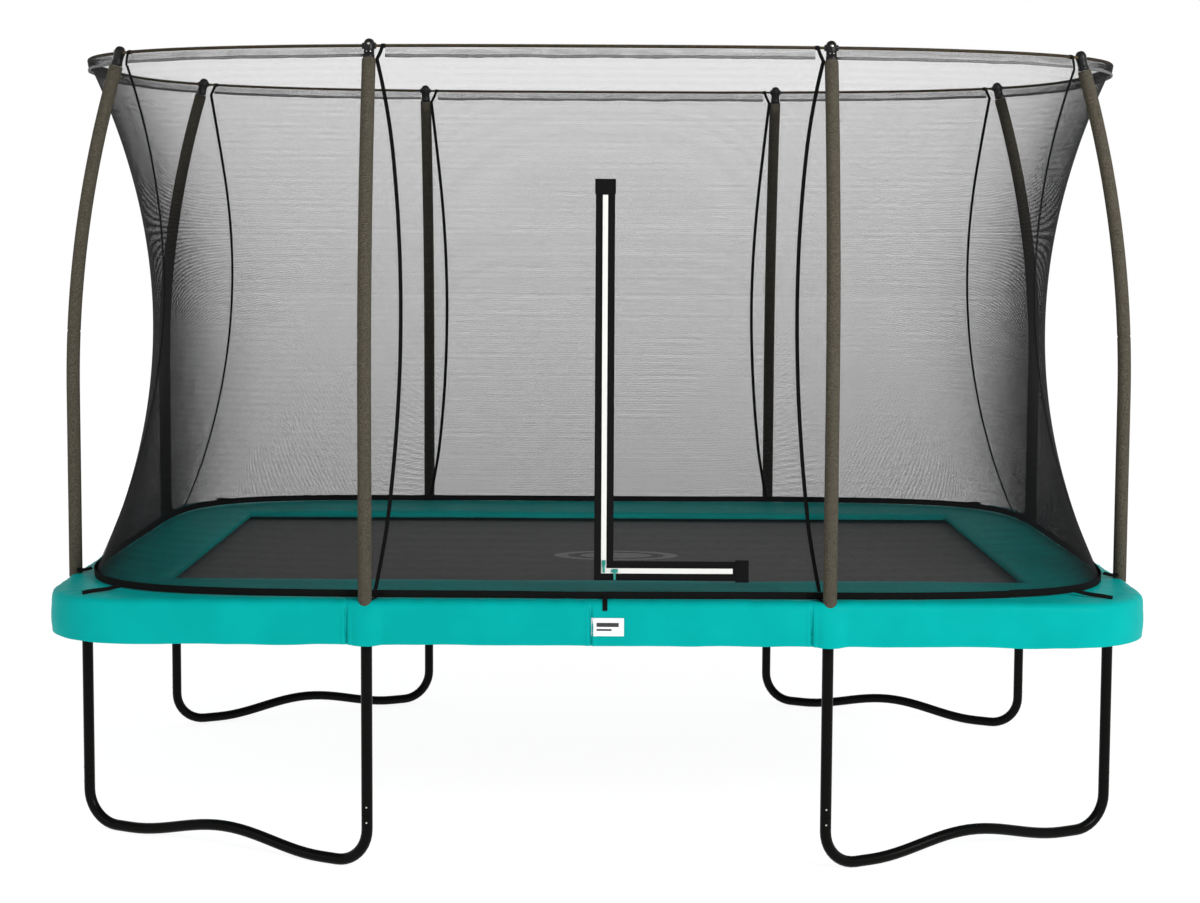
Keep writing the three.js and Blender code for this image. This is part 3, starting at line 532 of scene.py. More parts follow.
def pole_line(place, low, high, steps=28):
    if high <= POLE_ARC_Z:
        heights = np.linspace(low, high, 6)
    elif low >= POLE_ARC_Z:
        heights = np.linspace(low, high, steps)
    else:
        heights = np.concatenate([[low], np.linspace(POLE_ARC_Z - 0.05, high, steps)])
    return np.array([pole_point(place, z) for z in heights])


def foam_length(shape, place, corner, low, high):
    """One length of foam, its ends a little rounded."""
    line = pole_line(place, low, high)
    gap, round_off = 0.0001, 0.004
    up, down = line[1] - line[0], line[-2] - line[-1]
    near = [line[0] + up * f / np.linalg.norm(up) for f in (gap, round_off)]
    far = [line[-1] + down * f / np.linalg.norm(down) for f in (round_off, gap)]
    path = np.vstack([near, line[1:-1], far])
    radii = np.full(len(path), FOAM_R)
    radii[[0, -1]] = FOAM_R - 0.002
    shape.tube(mirrored(path, corner), radii, 28)
    return shape


def build_poles():
    for corner in CORNERS:
        for place, (x, y, out_x, out_y) in PLACES.items():
            name = corner + "_" + place
            top, up = pole_top(place)
            line = np.vstack([pole_line(place, POLE_LOW_Z + 0.004, FOAM_TOP_Z), [top + up * 0.028]])
            steel = Shape().tube(mirrored(line, corner), POLE_R, 20)
            plug = mirrored(pole_point(place, POLE_LOW_Z), corner)
            lip = POLE_R + 0.0008
            steel.turned([(0, 0), (POLE_R - 0.001, 0), (lip, 0.001), (lip, 0.006)], plug, slot=1)
            steel.piece("steel_pole_" + name, GALVANISED, CAP, replaces="net_pole_" + name)

            foam = foam_length(Shape(), place, corner, FOAM_LOW_Z, FOAM_JOINT_Z)
            foam_length(foam, place, corner, FOAM_JOINT_Z, FOAM_TOP_Z)
            made = foam.piece("foam_" + name, FOAM, replaces="pole_foam_" + name)
            build_cap(corner, place)


def build_cap(corner, place):
    """A pole's cap: a collar over the pole, a boss on each side for the rod, and a round head."""
    name = corner + "_" + place
    top, up = pole_top(place)
    origin, axis = mirrored(top, corner), mirrored(up, corner)
    head = [
        (0.0145, 0.0008),
        (0.0185, 0.0008),
        (0.0192, 0.002),
        (0.0192, 0.012),
        (0.0178, 0.014),
        (0.0176, 0.03),
        (0.0183, 0.036),
        (0.0193, 0.044),
        (0.0187, 0.052),
        (0.0165, 0.0595),
        (0.0125, 0.0652),
        (0.007, 0.0684),
        (0, 0.0693),
    ]
    cap = Shape().turned(head, origin, axis, 32)
    crossing = mirrored(rod_crossing(place), corner)
    s = RING_S[name]
    ahead = ring_points(np.array([s + 0.01]))[0] - ring_points(np.array([s - 0.01]))[0]
    along = ahead / np.linalg.norm(ahead)
    for side in (-1, 1):
        boss = [(0.0105, 0), (0.0105, 0.0215), (0.0098, 0.0228), (0.0058, 0.0228), (0.0058, 0.012)]
        cap.turned(boss, crossing, along * side, 20)
    _, _, out_x, out_y = PLACES[place]
    out = mirrored((out_x, out_y, 0), corner)
    out = out - axis * (out @ axis)
    out /= np.linalg.norm(out)
    screw(cap, origin + axis * 0.0465 + out * 0.0192, out, 0.0052)
    for side in (-1, 1):
        across = np.cross(out, axis) * side
        rivet = out * 0.94 + across * 0.34
        screw(cap, origin + axis * 0.021 + rivet * 0.0177, rivet, 0.0022)
    cap.piece("cap_" + name, CAP, SCREW, replaces="pole_cap_" + name)


# ---- Outlines of the ring, the net and its hem ----


def quarter_outline(half_x, half_y, power):
    angle = np.linspace(math.pi / 2, 0, 401)
    x = half_x * np.maximum(np.cos(angle), 0) ** (2 / power)
    y = half_y * np.maximum(np.sin(angle), 0) ** (2 / power)
    length = lengths_along(np.stack([x, y], axis=1))
    marks = [0, np.interp(MID_LEG_X, x, length), np.interp(-END_LEG_Y, -y, length), length[-1]]
    return x, y, length, marks


def ring_shape():
    """Half width and power of the superellipse through both of a corner's caps."""
    mid, end = rod_crossing("mid"), rod_crossing("end")
    half_y = lambda power: mid[1] / (1 - (mid[0] / RING_HALF_X) ** power) ** (1 / power)
    low, high = 2, 5
    for _ in range(50):
        power = (low + high) / 2
        outside = (end[0] / RING_HALF_X) ** power + (end[1] / half_y(power)) ** power > 1
        low, high = (power, high) if outside else (low, power)
    return half_y(low), low


RING_Z = rod_crossing("mid")[2]
RING_HALF_Y, RING_POWER = ring_shape()
NET_TOP_Z = RING_Z - ROD_R - 0.0015
RING_OUTLINE = quarter_outline(RING_HALF_X, RING_HALF_Y, RING_POWER)
HEM_OUTLINE = quarter_outline(HEM_HALF_X, HEM_HALF_Y, HEM_POWER)
# The place of each pole round the outline, clockwise seen from above from 0 at the front's middle.
RING_S = {
    "front_left_mid": 1,
    "front_left_end": 2,
    "back_left_end": 4,
    "back_left_mid": 5,
    "back_right_mid": 7,
    "back_right_end": 8,
    "front_right_end": 10,
    "front_right_mid": 11,
}


def outline_points(outline, s):
    """Points (x, y) of an outline at places s round it, 3 to each quarter turn."""
    x, y, length, marks = outline
    turn = np.mod(s, 12)
    quarter = np.minimum(turn // 3, 3).astype(int)
    q = np.choose(quarter, [turn, 6 - turn, turn - 6, 12 - turn])
    at = np.interp(q, range(4), marks)
    sign_x, sign_y = np.array([-1, -1, 1, 1])[quarter], np.array([-1, 1, 1, -1])[quarter]
    return np.stack([sign_x * np.interp(at, length, x), sign_y * np.interp(at, length, y)], axis=-1)


def ring_points(s, z=None):
    p = outline_points(RING_OUTLINE, s)
    return np.concatenate([p, np.full((*p.shape[:-1], 1), RING_Z if z is None else z)], axis=-1)


def net_points(s, t):
    """Points of the net at places s round it and shares t of its height."""
    s, t = np.broadcast_arrays(np.asarray(s, float), np.asarray(t, float))
    p = outline_points(HEM_OUTLINE, s) * (1 - t)[..., None] + outline_points(RING_OUTLINE, s) * t[..., None]
    drawn = WAIST * 4 * t * (1 - t)
    share = np.clip((np.abs(p[..., 0]) - FLAT_HALF_X) / (WAIST_FULL_X - FLAT_HALF_X), 0, 1)
    drawn_y = drawn * share * share * (3 - 2 * share)
    return np.stack(
        [p[..., 0] * (1 - drawn), p[..., 1] * (1 - drawn_y), HEM_Z + (NET_TOP_Z - HEM_Z) * t], axis=-1
    )


def net_out(s, t):
    """The direction out of the net at places on it."""
    small = 0.01
    along = net_points(np.asarray(s) + small, t) - net_points(np.asarray(s) - small, t)
    up = net_points(s, np.asarray(t) + small) - net_points(s, np.asarray(t) - small)
    out = np.cross(up, along)
    return out / np.linalg.norm(out, axis=-1)[..., None]


# ---- The safety net ----

FOLD_TOP = np.array((ZIP_X, 0, ZIP_TOP_Z))
FOLD_END = np.array((ZIP_END_X, 0, ZIP_Z))
CORNER_POINT = np.array((ZIP_X, 0, ZIP_Z))
FOLD_LINE = (FOLD_END - FOLD_TOP) / np.linalg.norm(FOLD_END - FOLD_TOP)
# Across the fold, in the net's plane, towards the zip's corner.
FOLD_ACROSS = np.cross(FOLD_LINE, (0, 1, 0))
if FOLD_ACROSS @ (CORNER_POINT - FOLD_TOP) < 0:
    FOLD_ACROSS = -FOLD_ACROSS
SLIT = 0.0004


def cut(bm, point, normal):
    """Keeps the part of a mesh on the side that the normal points to."""
    geometry = bm.verts[:] + bm.edges[:] + bm.faces[:]
    bmesh.ops.bisect_plane(bm, geom=geometry, dist=1e-7, plane_co=point, plane_no=normal, clear_inner=True)


def parted(mesh, inside):
    """The part of a mesh in the flap's triangle, or all but that part, as a new mesh."""
    normals = [(1, 0, 0), (0, 0, 1), tuple(FOLD_ACROSS)]
    points = [(ZIP_X, 0, 0), (0, 0, ZIP_Z), tuple(FOLD_TOP)]
    pieces = []
    if inside:
        plans = [[(p, n, 1) for p, n in zip(points, normals)]]
    else:
        plans = [
            [(points[0], normals[0], -1)],
            [(points[0], normals[0], 1), (points[1], normals[1], -1)],
            [(points[0], normals[0], 1), (points[1], normals[1], 1), (points[2], normals[2], -1)],
        ]
    whole = bmesh.new()
    for plan in plans:
        part = bmesh.new()
        part.from_mesh(mesh)
        for point, normal, side in plan:
            cut(part, point, tuple(side * c for c in normal))
        scratch = bpy.data.meshes.new("scratch")
        part.to_mesh(scratch)
        part.free()
        whole.from_mesh(scratch)
        bpy.data.meshes.remove(scratch)
    bmesh.ops.remove_doubles(whole, verts=whole.verts, dist=1e-6)
    made = bpy.data.meshes.new(mesh.name + ("_in" if inside else "_out"))
    whole.to_mesh(made)
    whole.free()
    for m in mesh.materials:
        made.materials.append(m)
    made.shade_smooth()
    return made


def take_flap(whole, name, flap_name):
    """Parts an object of the entrance side into what stays with the net and what lies in the flap's triangle.
    """
    stays = whole
    mesh = whole.data
    folds = bpy.data.objects.new(flap_name, parted(mesh, True))
    bpy.context.scene.collection.objects.link(folds)
    stays.data = parted(mesh, False)
    stays.name = name
    bpy.data.meshes.remove(mesh)
    if len(folds.data.vertices):
        fold_with_flap(folds)
    else:
        bpy.data.objects.remove(folds)
        folds = None
    return stays, folds


def fold_with_flap(o):
    t = (FOLD_TOP + FOLD_END) / 2
    y = net_points(0.0, (t[2] - HEM_Z) / (NET_TOP_Z - HEM_Z))[1]
    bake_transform(o)
    return o


def relief(s, t, depth):
    """Soft unevenness of hanging cloth, in metres along the net's normal."""
    flat = noise_at(s * 1.7, t * 1.3, 5.1) + 0.5 * noise_at(s * 6.1, t * 2.2, 9.4)
    edge = np.clip(np.minimum(t, 1 - t) * 8, 0, 1)
    return flat * depth * edge


def net_panel(name, from_s, to_s):
    s = np.linspace(from_s, to_s, 73)
    t = np.linspace(0, 1, 49)
    rows = net_points(s[None, :], t[:, None])
    rows = rows + net_out(s[None, :], t[:, None]) * relief(s[None, :], t[:, None], 0.0015)[..., None]
    u = lengths_along(ring_points(s))
    v = t * (NET_TOP_Z - HEM_Z)
    places = np.stack(np.meshgrid(u, v), axis=2)
    return Shape().grid(rows, places=places).piece(name, NET, sharp=180)


def panel_flat(from_s, to_s):
    """The flat size of a net panel: its mean width and its height."""
    s = np.linspace(from_s, to_s, 100)
    widths = [lengths_along(net_points(s, t))[-1] for t in (0.0, 0.25, 0.5, 0.75, 1.0)]
    height = lengths_along(net_points(from_s + 1.5, np.linspace(0, 1, 40)))[-1]
    return float(np.mean(widths)), float(height)


PANELS = {
    "net_front": (-1.5, 1.5),
    "net_left": (1.5, 4.5),
    "net_back": (4.5, 7.5),
    "net_right": (7.5, 10.5),
}
# The seam tapes, and the gaps in the sleeve, lie on the side of a pole that is nearer a long side's middle.
# How far off the pole each tape runs, as a share of the way to the next pole.
TAPE_OFF = {"front_mid": 0.047, "front_end": 0.03, "back_mid": 0.02, "back_end": 0.01}
# The places of a cap tie's two ends, as such shares.
TIE_FROM, TIE_TO = 0.062, 0.027


def toward_middle(name):
    """The direction of s from a pole to the nearer long side's middle."""
    s = RING_S[name]
    return -1 if s in (1, 2, 7, 8) else 1


def build_net():
    for name, (from_s, to_s) in PANELS.items():
        panel = net_panel(name + "_mesh", from_s, to_s)
        width, height = panel_flat(from_s, to_s)
        if name == "net_front":
            panel.parent = None
            panel, flap = take_flap(panel, name + "_mesh", "flap_mesh")
            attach(panel, "frame")
            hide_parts("door_flap")
        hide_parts(name)
    build_tapes()
    build_hem()
    build_sleeves()
    build_ties()


def build_tapes():
    """The eight black tapes sewn down the net beside the poles."""
    for name, s in RING_S.items():
        side, _, place = name.split("_")
        t = np.linspace(0.012, 0.98, 60)
        full = TAPE_OFF[side + "_" + place]
        off = full - (full - TIE_TO) * np.clip((t - 0.8) / 0.18, 0, 1) ** 2
        off -= 0.012 * np.clip(1 - t / 0.12, 0, 1)
        at = s + toward_middle(name) * off
        path = net_points(at, t)
        out = net_out(at, t)
        wander = noise_at(s * 3.7, t * 2.3, 1.5) * 0.004
        along = net_points(at + 0.01, t) - net_points(at - 0.01, t)
        along /= np.linalg.norm(along, axis=1)[:, None]
        path = path + out * 0.0025 + along * wander[:, None]
        ribbon("seam_tape_" + name, path, along, 0.013, 0.0016, "ring_rod_left")


HEM_WIDTH = 0.024


def build_hem():
    """The black band round the foot of the net, lying on the pads."""
    for name, (from_s, to_s) in PANELS.items():
        s = np.linspace(from_s, to_s, 121)
        low = outline_points(HEM_OUTLINE, s)
        dip = noise_at(s * 1.9, 3.3, 0.7) * 0.002
        path = np.column_stack([low, np.full(len(s), HEM_Z + 0.0085) + dip])
        lean = noise_at(s * 2.7, 8.3, 2.7) * 0.35
        out = net_out(s, np.full(len(s), 0.02))
        across = np.column_stack([out[:, 0] * lean, out[:, 1] * lean, np.ones(len(s))])
        across /= np.linalg.norm(across, axis=1)[:, None]
        path += out * 0.003
        side = name[4:]
        ribbon("hem_band_" + side, path, across, HEM_WIDTH, 0.0025, "pad_" + side, held="stretched")


SLEEVE_DEPTH, SLEEVE_R = 0.033, 0.0062


def build_sleeves():
    """The net's top edge, sewn into a sleeve round the rod. It stops short of each pole on one side."""
    gaps = []
    for name, s in RING_S.items():
        toward = toward_middle(name)
        wide, narrow = (0.07, 0.02) if name.endswith("mid") else (0.055, 0.03)
        near, far = s - toward * narrow, s + toward * wide
        gaps.append((min(near, far), max(near, far)))
    gaps.sort()
    starts = [gap[1] for gap in gaps]
    ends = [gap[0] for gap in gaps[1:]] + [gaps[0][0] + 12]
    for number, (start, end) in enumerate(zip(starts, ends)):
        columns = max(int((end - start) * 30), 8)
        s = np.linspace(start, end, columns)
        centre = ring_points(s)
        ahead = ring_points(s + 0.01) - ring_points(s - 0.01)
        ahead /= np.linalg.norm(ahead, axis=1)[:, None]
        out = np.cross((0, 0, 1), ahead)
        section = [(0.0006, -SLEEVE_DEPTH)]
        for angle in np.linspace(-0.35, math.pi + 0.35, 11):
            section.append((math.cos(angle) * SLEEVE_R, math.sin(angle) * SLEEVE_R))
        section.append((-0.0006, -SLEEVE_DEPTH))
        sag = noise_at(s * 5.3, 1.1, 4.9) * 0.003
        rows = []
        for across, up in section:
            share = 1 if up < -0.01 else 0
            rows.append(centre + out * across + np.outer(up + sag * share, (0, 0, 1)))
        sleeve = Shape().grid(rows).piece("net_sleeve_%d" % number, SLEEVE, sharp=180, weld=False)
        seam_line = centre + np.outer(-SLEEVE_DEPTH + sag, (0, 0, 1))
        wobble = noise_at(s * 55, 2.1, 7.9)
        seam = Shape().tube(seam_line, 0.0052 + 0.0022 * wobble, 8)
        seam.piece("sleeve_seam_%d" % number, NET_SEAM, sharp=180)


def build_ties():
    """The straps beside the caps: each goes from a loop on the bare rod down to the top of the seam tape."""
    for name, s in RING_S.items():
        toward = toward_middle(name)
        at = s + toward * TIE_FROM
        loop_at = ring_points(np.array([at]))[0]
        ahead = ring_points(np.array([at + 0.01]))[0] - ring_points(np.array([at - 0.01]))[0]
        ahead /= np.linalg.norm(ahead)
        out = np.cross((0, 0, 1), ahead)
        foot = net_points(s + toward * TIE_TO, 1 - (SLEEVE_DEPTH + 0.006) / (NET_TOP_Z - HEM_Z))
        profile = [(0.0053, -0.0065), (0.0076, -0.0065), (0.0076, 0.0065), (0.0053, 0.0065)]
        loop = Shape().turned(profile, loop_at, ahead, 16).piece("tie_loop_" + name, TAPE)
        points = [
            loop_at + out * 0.0066 + (0, 0, 0.002),
            loop_at * 0.6 + foot * 0.4 + out * 0.009 - (0, 0, 0.003),
            foot + out * 0.006,
        ]
        path = curve_through(points, 6)
        across = np.cross(np.gradient(path, axis=0), out)
        across /= np.linalg.norm(across, axis=1)[:, None]
        ribbon("cap_tie_" + name, path, across, 0.0115, 0.002, "ring_rod_left", with_pieces=[loop])


def build_ring():
    for name, first in (("ring_rod_left", 0), ("ring_rod_right", 6)):
        s = np.linspace(first, first + 6, 181)
        Shape().tube(ring_points(s), ROD_R, 14).piece("rod_" + name[9:], ROD, replaces=name)


# ---- The entrance ----

BAND_HALF, STRIPE_HALF = 0.032, 0.0086
BAND_TOP_Z, STRIPE_TOP_Z = 2.3, 2.25
BAND_END_X, STRIPE_END_X = 0.497, 0.447


def on_net(x, z, off):
    """The front of the net at x and z, so far in front of it."""
    t = (z - HEM_Z) / (NET_TOP_Z - HEM_Z)
    s = -np.interp(np.abs(x), FRONT_X, FRONT_S)
    p = net_points(s, t)
    out = net_out(s, t)
    return np.array((x, p[1], z)) + out * off * np.array((0, 1, 0))


FRONT_S = np.linspace(0, 0.9, 60)
FRONT_X = -outline_points(HEM_OUTLINE, FRONT_S)[:, 0]


def flat_patch(x0, x1, z0, z1, off, cell=0.02):
    """A rectangle of tape on the front of the net."""
    xs = np.linspace(x0, x1, max(int((x1 - x0) / cell), 3))
    zs = np.linspace(z0, z1, max(int((z1 - z0) / cell), 3))
    rows = [[on_net(x, z, off) for x in xs] for z in zs]
    places = np.stack(np.meshgrid(xs, zs), axis=2)
    return Shape().grid(rows, places=places)


def build_entrance():
    made = {}
    for kind, half, top_z, end_x, off, finish in (
        ("band", BAND_HALF, BAND_TOP_Z, BAND_END_X, 0.002, TAPE),
        ("stripe", STRIPE_HALF, STRIPE_TOP_Z, STRIPE_END_X, 0.0032, WHITE_TAPE),
    ):
        up = ("up", ZIP_X - half, ZIP_X + half, top_z)
        across = ("across", ZIP_X + half, end_x, ZIP_Z + half)
        for way, x0, x1, z1 in (up, across):
            name, flap_name = "zip_%s_%s" % (kind, way), "flap_%s_%s" % (kind, way)
            whole = flat_patch(x0, x1, ZIP_Z - half, z1, off).piece(name, finish, body=None)
            made[name], made[flap_name] = take_flap(whole, name, flap_name)
            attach(made[name], "frame")
            for o in (made[name], made[flap_name]):
                declare()
    patches = {
        "zip_end_up": (ZIP_X - 0.0345, ZIP_X + 0.0345, STRIPE_TOP_Z + 0.002, BAND_TOP_Z + 0.003),
        "zip_end_across": (STRIPE_END_X + 0.008, BAND_END_X + 0.003, ZIP_Z - 0.037, ZIP_Z + 0.037),
    }
    for name, (x0, x1, z0, z1) in patches.items():
        patch = flat_patch(x0, x1, z0, z1, 0.0042).piece(name, TAPE)
    build_slider("zip_slider_up", ZIP_X, 1.034, 0)
    build_slider("zip_slider_across", 0.056, ZIP_Z, 1)


def build_slider(name, x, z, lying):
    """A zip slider with its pull. Lying, it runs along X instead of up."""
    foot = on_net(x, z, 0.0)
    lean = math.atan2(HEM_HALF_Y - RING_HALF_Y, NET_TOP_Z - HEM_Z)
    turn = Matrix.Rotation(-lean, 3, "X")
    body_turn = turn @ Matrix.Rotation(math.pi / 2 if lying else 0, 3, "Y")
    slider = Shape()
    at = lambda m, px, py, pz: Vector(foot) + m @ Vector((px, py, pz))
    for y, z, size in (
        (-0.0063, 0.003, (0.013, 0.0022, 0.016)),
        (-0.0063, -0.0075, (0.01, 0.0022, 0.008)),
        (-0.0042, 0.0, (0.004, 0.003, 0.018)),
    ):
        slider.block(at(body_turn, 0, y, z), size, body_turn)
    bridge = ((-0.0075, 0.008), (-0.0105, 0.004), (-0.0105, -0.003), (-0.0075, -0.006))
    slider.tube(curve_through([at(body_turn, 0, y, z) for y, z in bridge], 4), 0.0012, 8)
    pull = [at(turn, 0, -0.0098, -0.001), at(turn, 0, -0.0092, -0.012), at(turn, 0.0005, -0.0088, -0.03)]
    slider.strip(curve_through(pull, 5), turn @ Vector((1, 0, 0)), 0.0075, 0.002)
    made = slider.piece(name + "_teal", TEAL_PLASTIC, replaces=name, body=name)
    bevel = made.modifiers.new("edges", "BEVEL")
    bevel.width, bevel.segments, bevel.limit_method = 0.0005, 2, "ANGLE"


# ---- The pads ----


# At the ends the cover is drawn tight against the poles behind it.
COVER_HALF_X, COVER_CORNER = PAD_HALF_X - 0.012, 0.3


def pad_outline(half_x, half_y, corner, steps=16):
    """A rounded rectangle, from the front's middle clockwise seen from above."""
    points = []
    for k, (x, y) in enumerate(((-1, -1), (-1, 1), (1, 1), (1, -1))):
        first = math.pi * 1.5 - k * math.pi / 2
        cx, cy = x * (half_x - corner), y * (half_y - corner)
        for j in range(steps + 1):
            angle = first - j / steps * math.pi / 2
            points.append((cx + corner * math.cos(angle), cy + corner * math.sin(angle)))
    return np.array(points)


def side_line(side):
    """Outer points of one side's pad from mitre to mitre, and the matching inner ones, as (x, y)."""
    outline = pad_outline(COVER_HALF_X, PAD_HALF_Y, COVER_CORNER, 24)
    dense = []
    for a, b in zip(outline, np.roll(outline, -1, 0)):
        count = max(int(np.linalg.norm(b - a) / 0.02), 1)
        dense.extend(a + (b - a) * k / count for k in range(count))
    dense = np.array(dense)
    beyond_x = np.abs(dense[:, 0]) - PAD_OPEN_X
    beyond_y = np.abs(dense[:, 1]) - PAD_OPEN_Y
    if side in ("front", "back"):
        sign = -1 if side == "front" else 1
        keep = (beyond_y >= beyond_x) & (np.sign(dense[:, 1]) == sign)
        outer = dense[keep]
        outer = outer[np.argsort(outer[:, 0])]
        edge = np.array([mitre_point(-1, sign), mitre_point(1, sign)])
        outer = np.vstack([edge[:1], outer, edge[1:]])
        outer = with_seam_columns(outer, [-sign * x for x in SKIRT_SEAMS], [-MID_LEG_X, MID_LEG_X])
        inner_x = np.clip(outer[:, 0], -PAD_OPEN_X, PAD_OPEN_X)
        inner = np.column_stack([inner_x, np.full(len(outer), sign * PAD_OPEN_Y)])
    else:
        sign = -1 if side == "left" else 1
        keep = (beyond_x >= beyond_y) & (np.sign(dense[:, 0]) == sign)
        outer = dense[keep]
        outer = outer[np.argsort(outer[:, 1])]
        edge = np.array([mitre_point(sign, -1), mitre_point(sign, 1)])
        outer = np.vstack([edge[:1], outer, edge[1:]])
        inner_y = np.clip(outer[:, 1], -PAD_OPEN_Y, PAD_OPEN_Y)
        inner = np.column_stack([np.full(len(outer), sign * PAD_OPEN_X), inner_y])
    return outer, inner


def mitre_point(x, y):
    """Where a corner's mitre meets the pad's outline."""
    cx, cy = COVER_HALF_X - COVER_CORNER, PAD_HALF_Y - COVER_CORNER
    ox, oy = PAD_OPEN_X - cx, PAD_OPEN_Y - cy
    # a point (ox + d, oy + d) from the corner's centre, at the corner's radius
    b, c = ox + oy, ox * ox + oy * oy - COVER_CORNER**2
    d = (-b + math.sqrt(b * b - 2 * c)) / 2
    return x * (PAD_OPEN_X + d), y * (PAD_OPEN_Y + d)


# The pad's section from its inner edge, over its top and down the skirt. Each row is a share of the way
# from the inner edge to the outline, a distance back from the outline, and a height.
SECTION = [
    (0.0, None, 0.8935),
    (0.0, None, 0.9),
    (0.004, None, 0.909),
    (0.02, None, 0.9135),
    (0.15, None, 0.9155),
    (0.35, None, 0.916),
    (0.55, None, 0.916),
    (0.75, None, 0.916),
    (None, 0.075, 0.9165),
    (None, 0.045, 0.9165),
    (None, 0.026, 0.915),
    (None, 0.014, 0.9105),
    (None, 0.007, 0.903),
    (None, 0.0035, 0.892),
    (None, 0.0025, 0.878),
    (None, 0.002, 0.86),
    (None, 0.0005, 0.84),
    (None, 0.0, 0.82),
    (None, 0.001, 0.8),
    (None, 0.003, 0.785),
    (None, 0.004, 0.776),
    (None, 0.004, 0.7715),
    (None, 0.006, 0.7705),
    (None, 0.0075, 0.773),
    (None, 0.0075, 0.79),
]


# Where the front skirt is joined, along X. The back one is the same turned round.
SKIRT_SEAMS = (-0.825, -0.021, 0.705)


def with_seam_columns(points, seams, poles):
    """Points sorted along X, with more of them beside each seam and over each pole."""
    spreads = [seam + np.linspace(-0.032, 0.032, 23) for seam in seams]
    spreads += [pole + np.linspace(-0.084, 0.084, 29) for pole in poles]
    extra = np.concatenate(spreads)
    x = np.union1d(points[:, 0], extra)
    return np.column_stack([x, np.interp(x, points[:, 0], points[:, 1])])


def seam_relief(x, z, seams):
    """How far a skirt stands out beside its seams: a groove, and puckers running off it."""
    off = np.zeros(len(x))
    for seam in seams:
        away = np.abs(x - seam)
        off -= 0.006 * np.exp(-((away / 0.0028) ** 2)) - 0.0022 * np.exp(-(((away - 0.011) / 0.006) ** 2))
        pucker = noise_at(x * 14, z * 46, 3.3 + seam)
        off += 0.006 * pucker * np.exp(-away / 0.014)
    return off


POCKET = 0.047  # half the width of the skirt's bulge over a pole


def pole_bulge(x, y):
    """How far the skirt is pushed out by the poles behind it."""
    push = 0.0
    for corner in CORNERS:
        for place in PLACES:
            px, py, _ = mirrored(pole_point(place, POLE_LOW_Z), corner)
            push += math.exp(-((((x - px) ** 2 + (y - py) ** 2) / POCKET**2) ** 2))
    return push


def build_pads():
    trees = {}
    for side in ("front", "back", "left", "right"):
        outer, inner = side_line(side)
        seams = {"front": SKIRT_SEAMS, "back": [-x for x in SKIRT_SEAMS]}.get(side, [])
        direction = np.gradient(outer, axis=0)
        direction /= np.linalg.norm(direction, axis=1)[:, None]
        normal = np.column_stack([direction[:, 1], -direction[:, 0]])
        flip = np.sign(np.sum(normal * (outer - inner), axis=1))
        normal *= flip[:, None]
        along = lengths_along(outer)
        bulge = np.array([pole_bulge(x, y) for x, y in outer])
        rows = []
        for share, back, z in skirt_rows(SECTION):
            if back is None:
                near = outer - normal * 0.085
                p = inner + (near - inner) * share / 0.85
                lift = noise_at(p[:, 0] * 2.2, p[:, 1] * 2.2, 1.7) * 0.004
                height = z + lift * (1 if share > 0.01 else 0.3)
            else:
                low = max(0.0, (0.9 - z) / 0.13)
                x, y = outer.T
                drape = noise_at(x * 3.1, y * 3.1, 6.2 + z)
                fine = noise_at(x * 11, y * 11, 2.2 + 3 * z)
                crease = noise_at(x * 24, y * 24, 4.4 + z * 40)
                off = (drape * 0.006 + fine * 0.0022) * min(low, 1) + bulge * 0.015 * min(low + 0.5, 1)
                off += seam_relief(x, z, seams) * min(low + 0.3, 1)
                p = outer + normal * (off - back)[:, None]
                wave = (drape * 0.005 + fine * 0.0025 - bulge * 0.004) * min(low, 1)
                height = z + wave + crease * 0.003 * (1 - min(low * 3, 1))
            rows.append(np.column_stack([p, height + np.zeros(len(outer))]))
        rows = np.array(rows)
        v = lengths_along(rows[:, len(outer) // 2])
        places = np.stack(np.meshgrid(along, v), axis=2)
        made = Shape().grid(rows, places=places)
        made = made.piece("pad_cover_" + side, PAD, replaces="pad_" + side, sharp=60)
        corners = [v.co for v in made.data.vertices]
        trees[side] = BVHTree.FromPolygons(corners, [p.vertices for p in made.data.polygons])
    build_stitches(trees)
    build_label(trees["front"])
    build_straps(trees)


def skirt_rows(section):
    """The section with another row halfway between rows of the skirt that are far apart."""
    rows = [section[0]]
    for before, after in zip(section, section[1:]):
        if before[1] is not None and after[1] is not None and abs(after[2] - before[2]) > 0.009:
            rows.append((None, (before[1] + after[1]) / 2, (before[2] + after[2]) / 2))
        rows.append(after)
    return rows


def against(tree, point, out, off):
    """The place on a surface behind or before a point, so far out of it."""
    out = Vector(out)
    hit = tree.ray_cast(Vector(point) + out * 0.3, -out)[0]
    return np.array((hit if hit else Vector(point)) + out * off)


def build_stitches(trees):
    """Two rows of stitches down each seam of the front and back skirts, their dark colour partly the thread's
    own and partly painted shade of the seam's groove.
    """
    for side, sign in (("front", -1), ("back", 1)):
        stitches = Shape()
        for seam in SKIRT_SEAMS:
            for row in (-0.0045, 0.0045):
                for z in np.arange(0.779, 0.896, 0.0065):
                    places = [(-sign * seam + row, sign * PAD_HALF_Y, z + dz) for dz in (0, 0.0042)]
                    ends = [against(trees[side], place, (0, sign, 0), 0.0004) for place in places]
                    stitches.strip(ends, (1, 0, 0), 0.0011, 0.0006)
        stitches.piece("skirt_stitches_" + side, STITCH_THREAD_AND_SEAM_SHADE, weld=False)


LABEL_X, LABEL_Z, LABEL_WIDTH, LABEL_HEIGHT = 0.034, 0.834, 0.107, 0.06


def label_patch(tree, x0, x1, z0, z1, off):
    xs, zs = np.linspace(x0, x1, 13), np.linspace(z0, z1, 8)
    rows = [[against(tree, (x, -PAD_HALF_Y, z), (0, -1, 0), off) for x in xs] for z in zs]
    return np.array(rows), np.stack(np.meshgrid(xs, zs), axis=2)


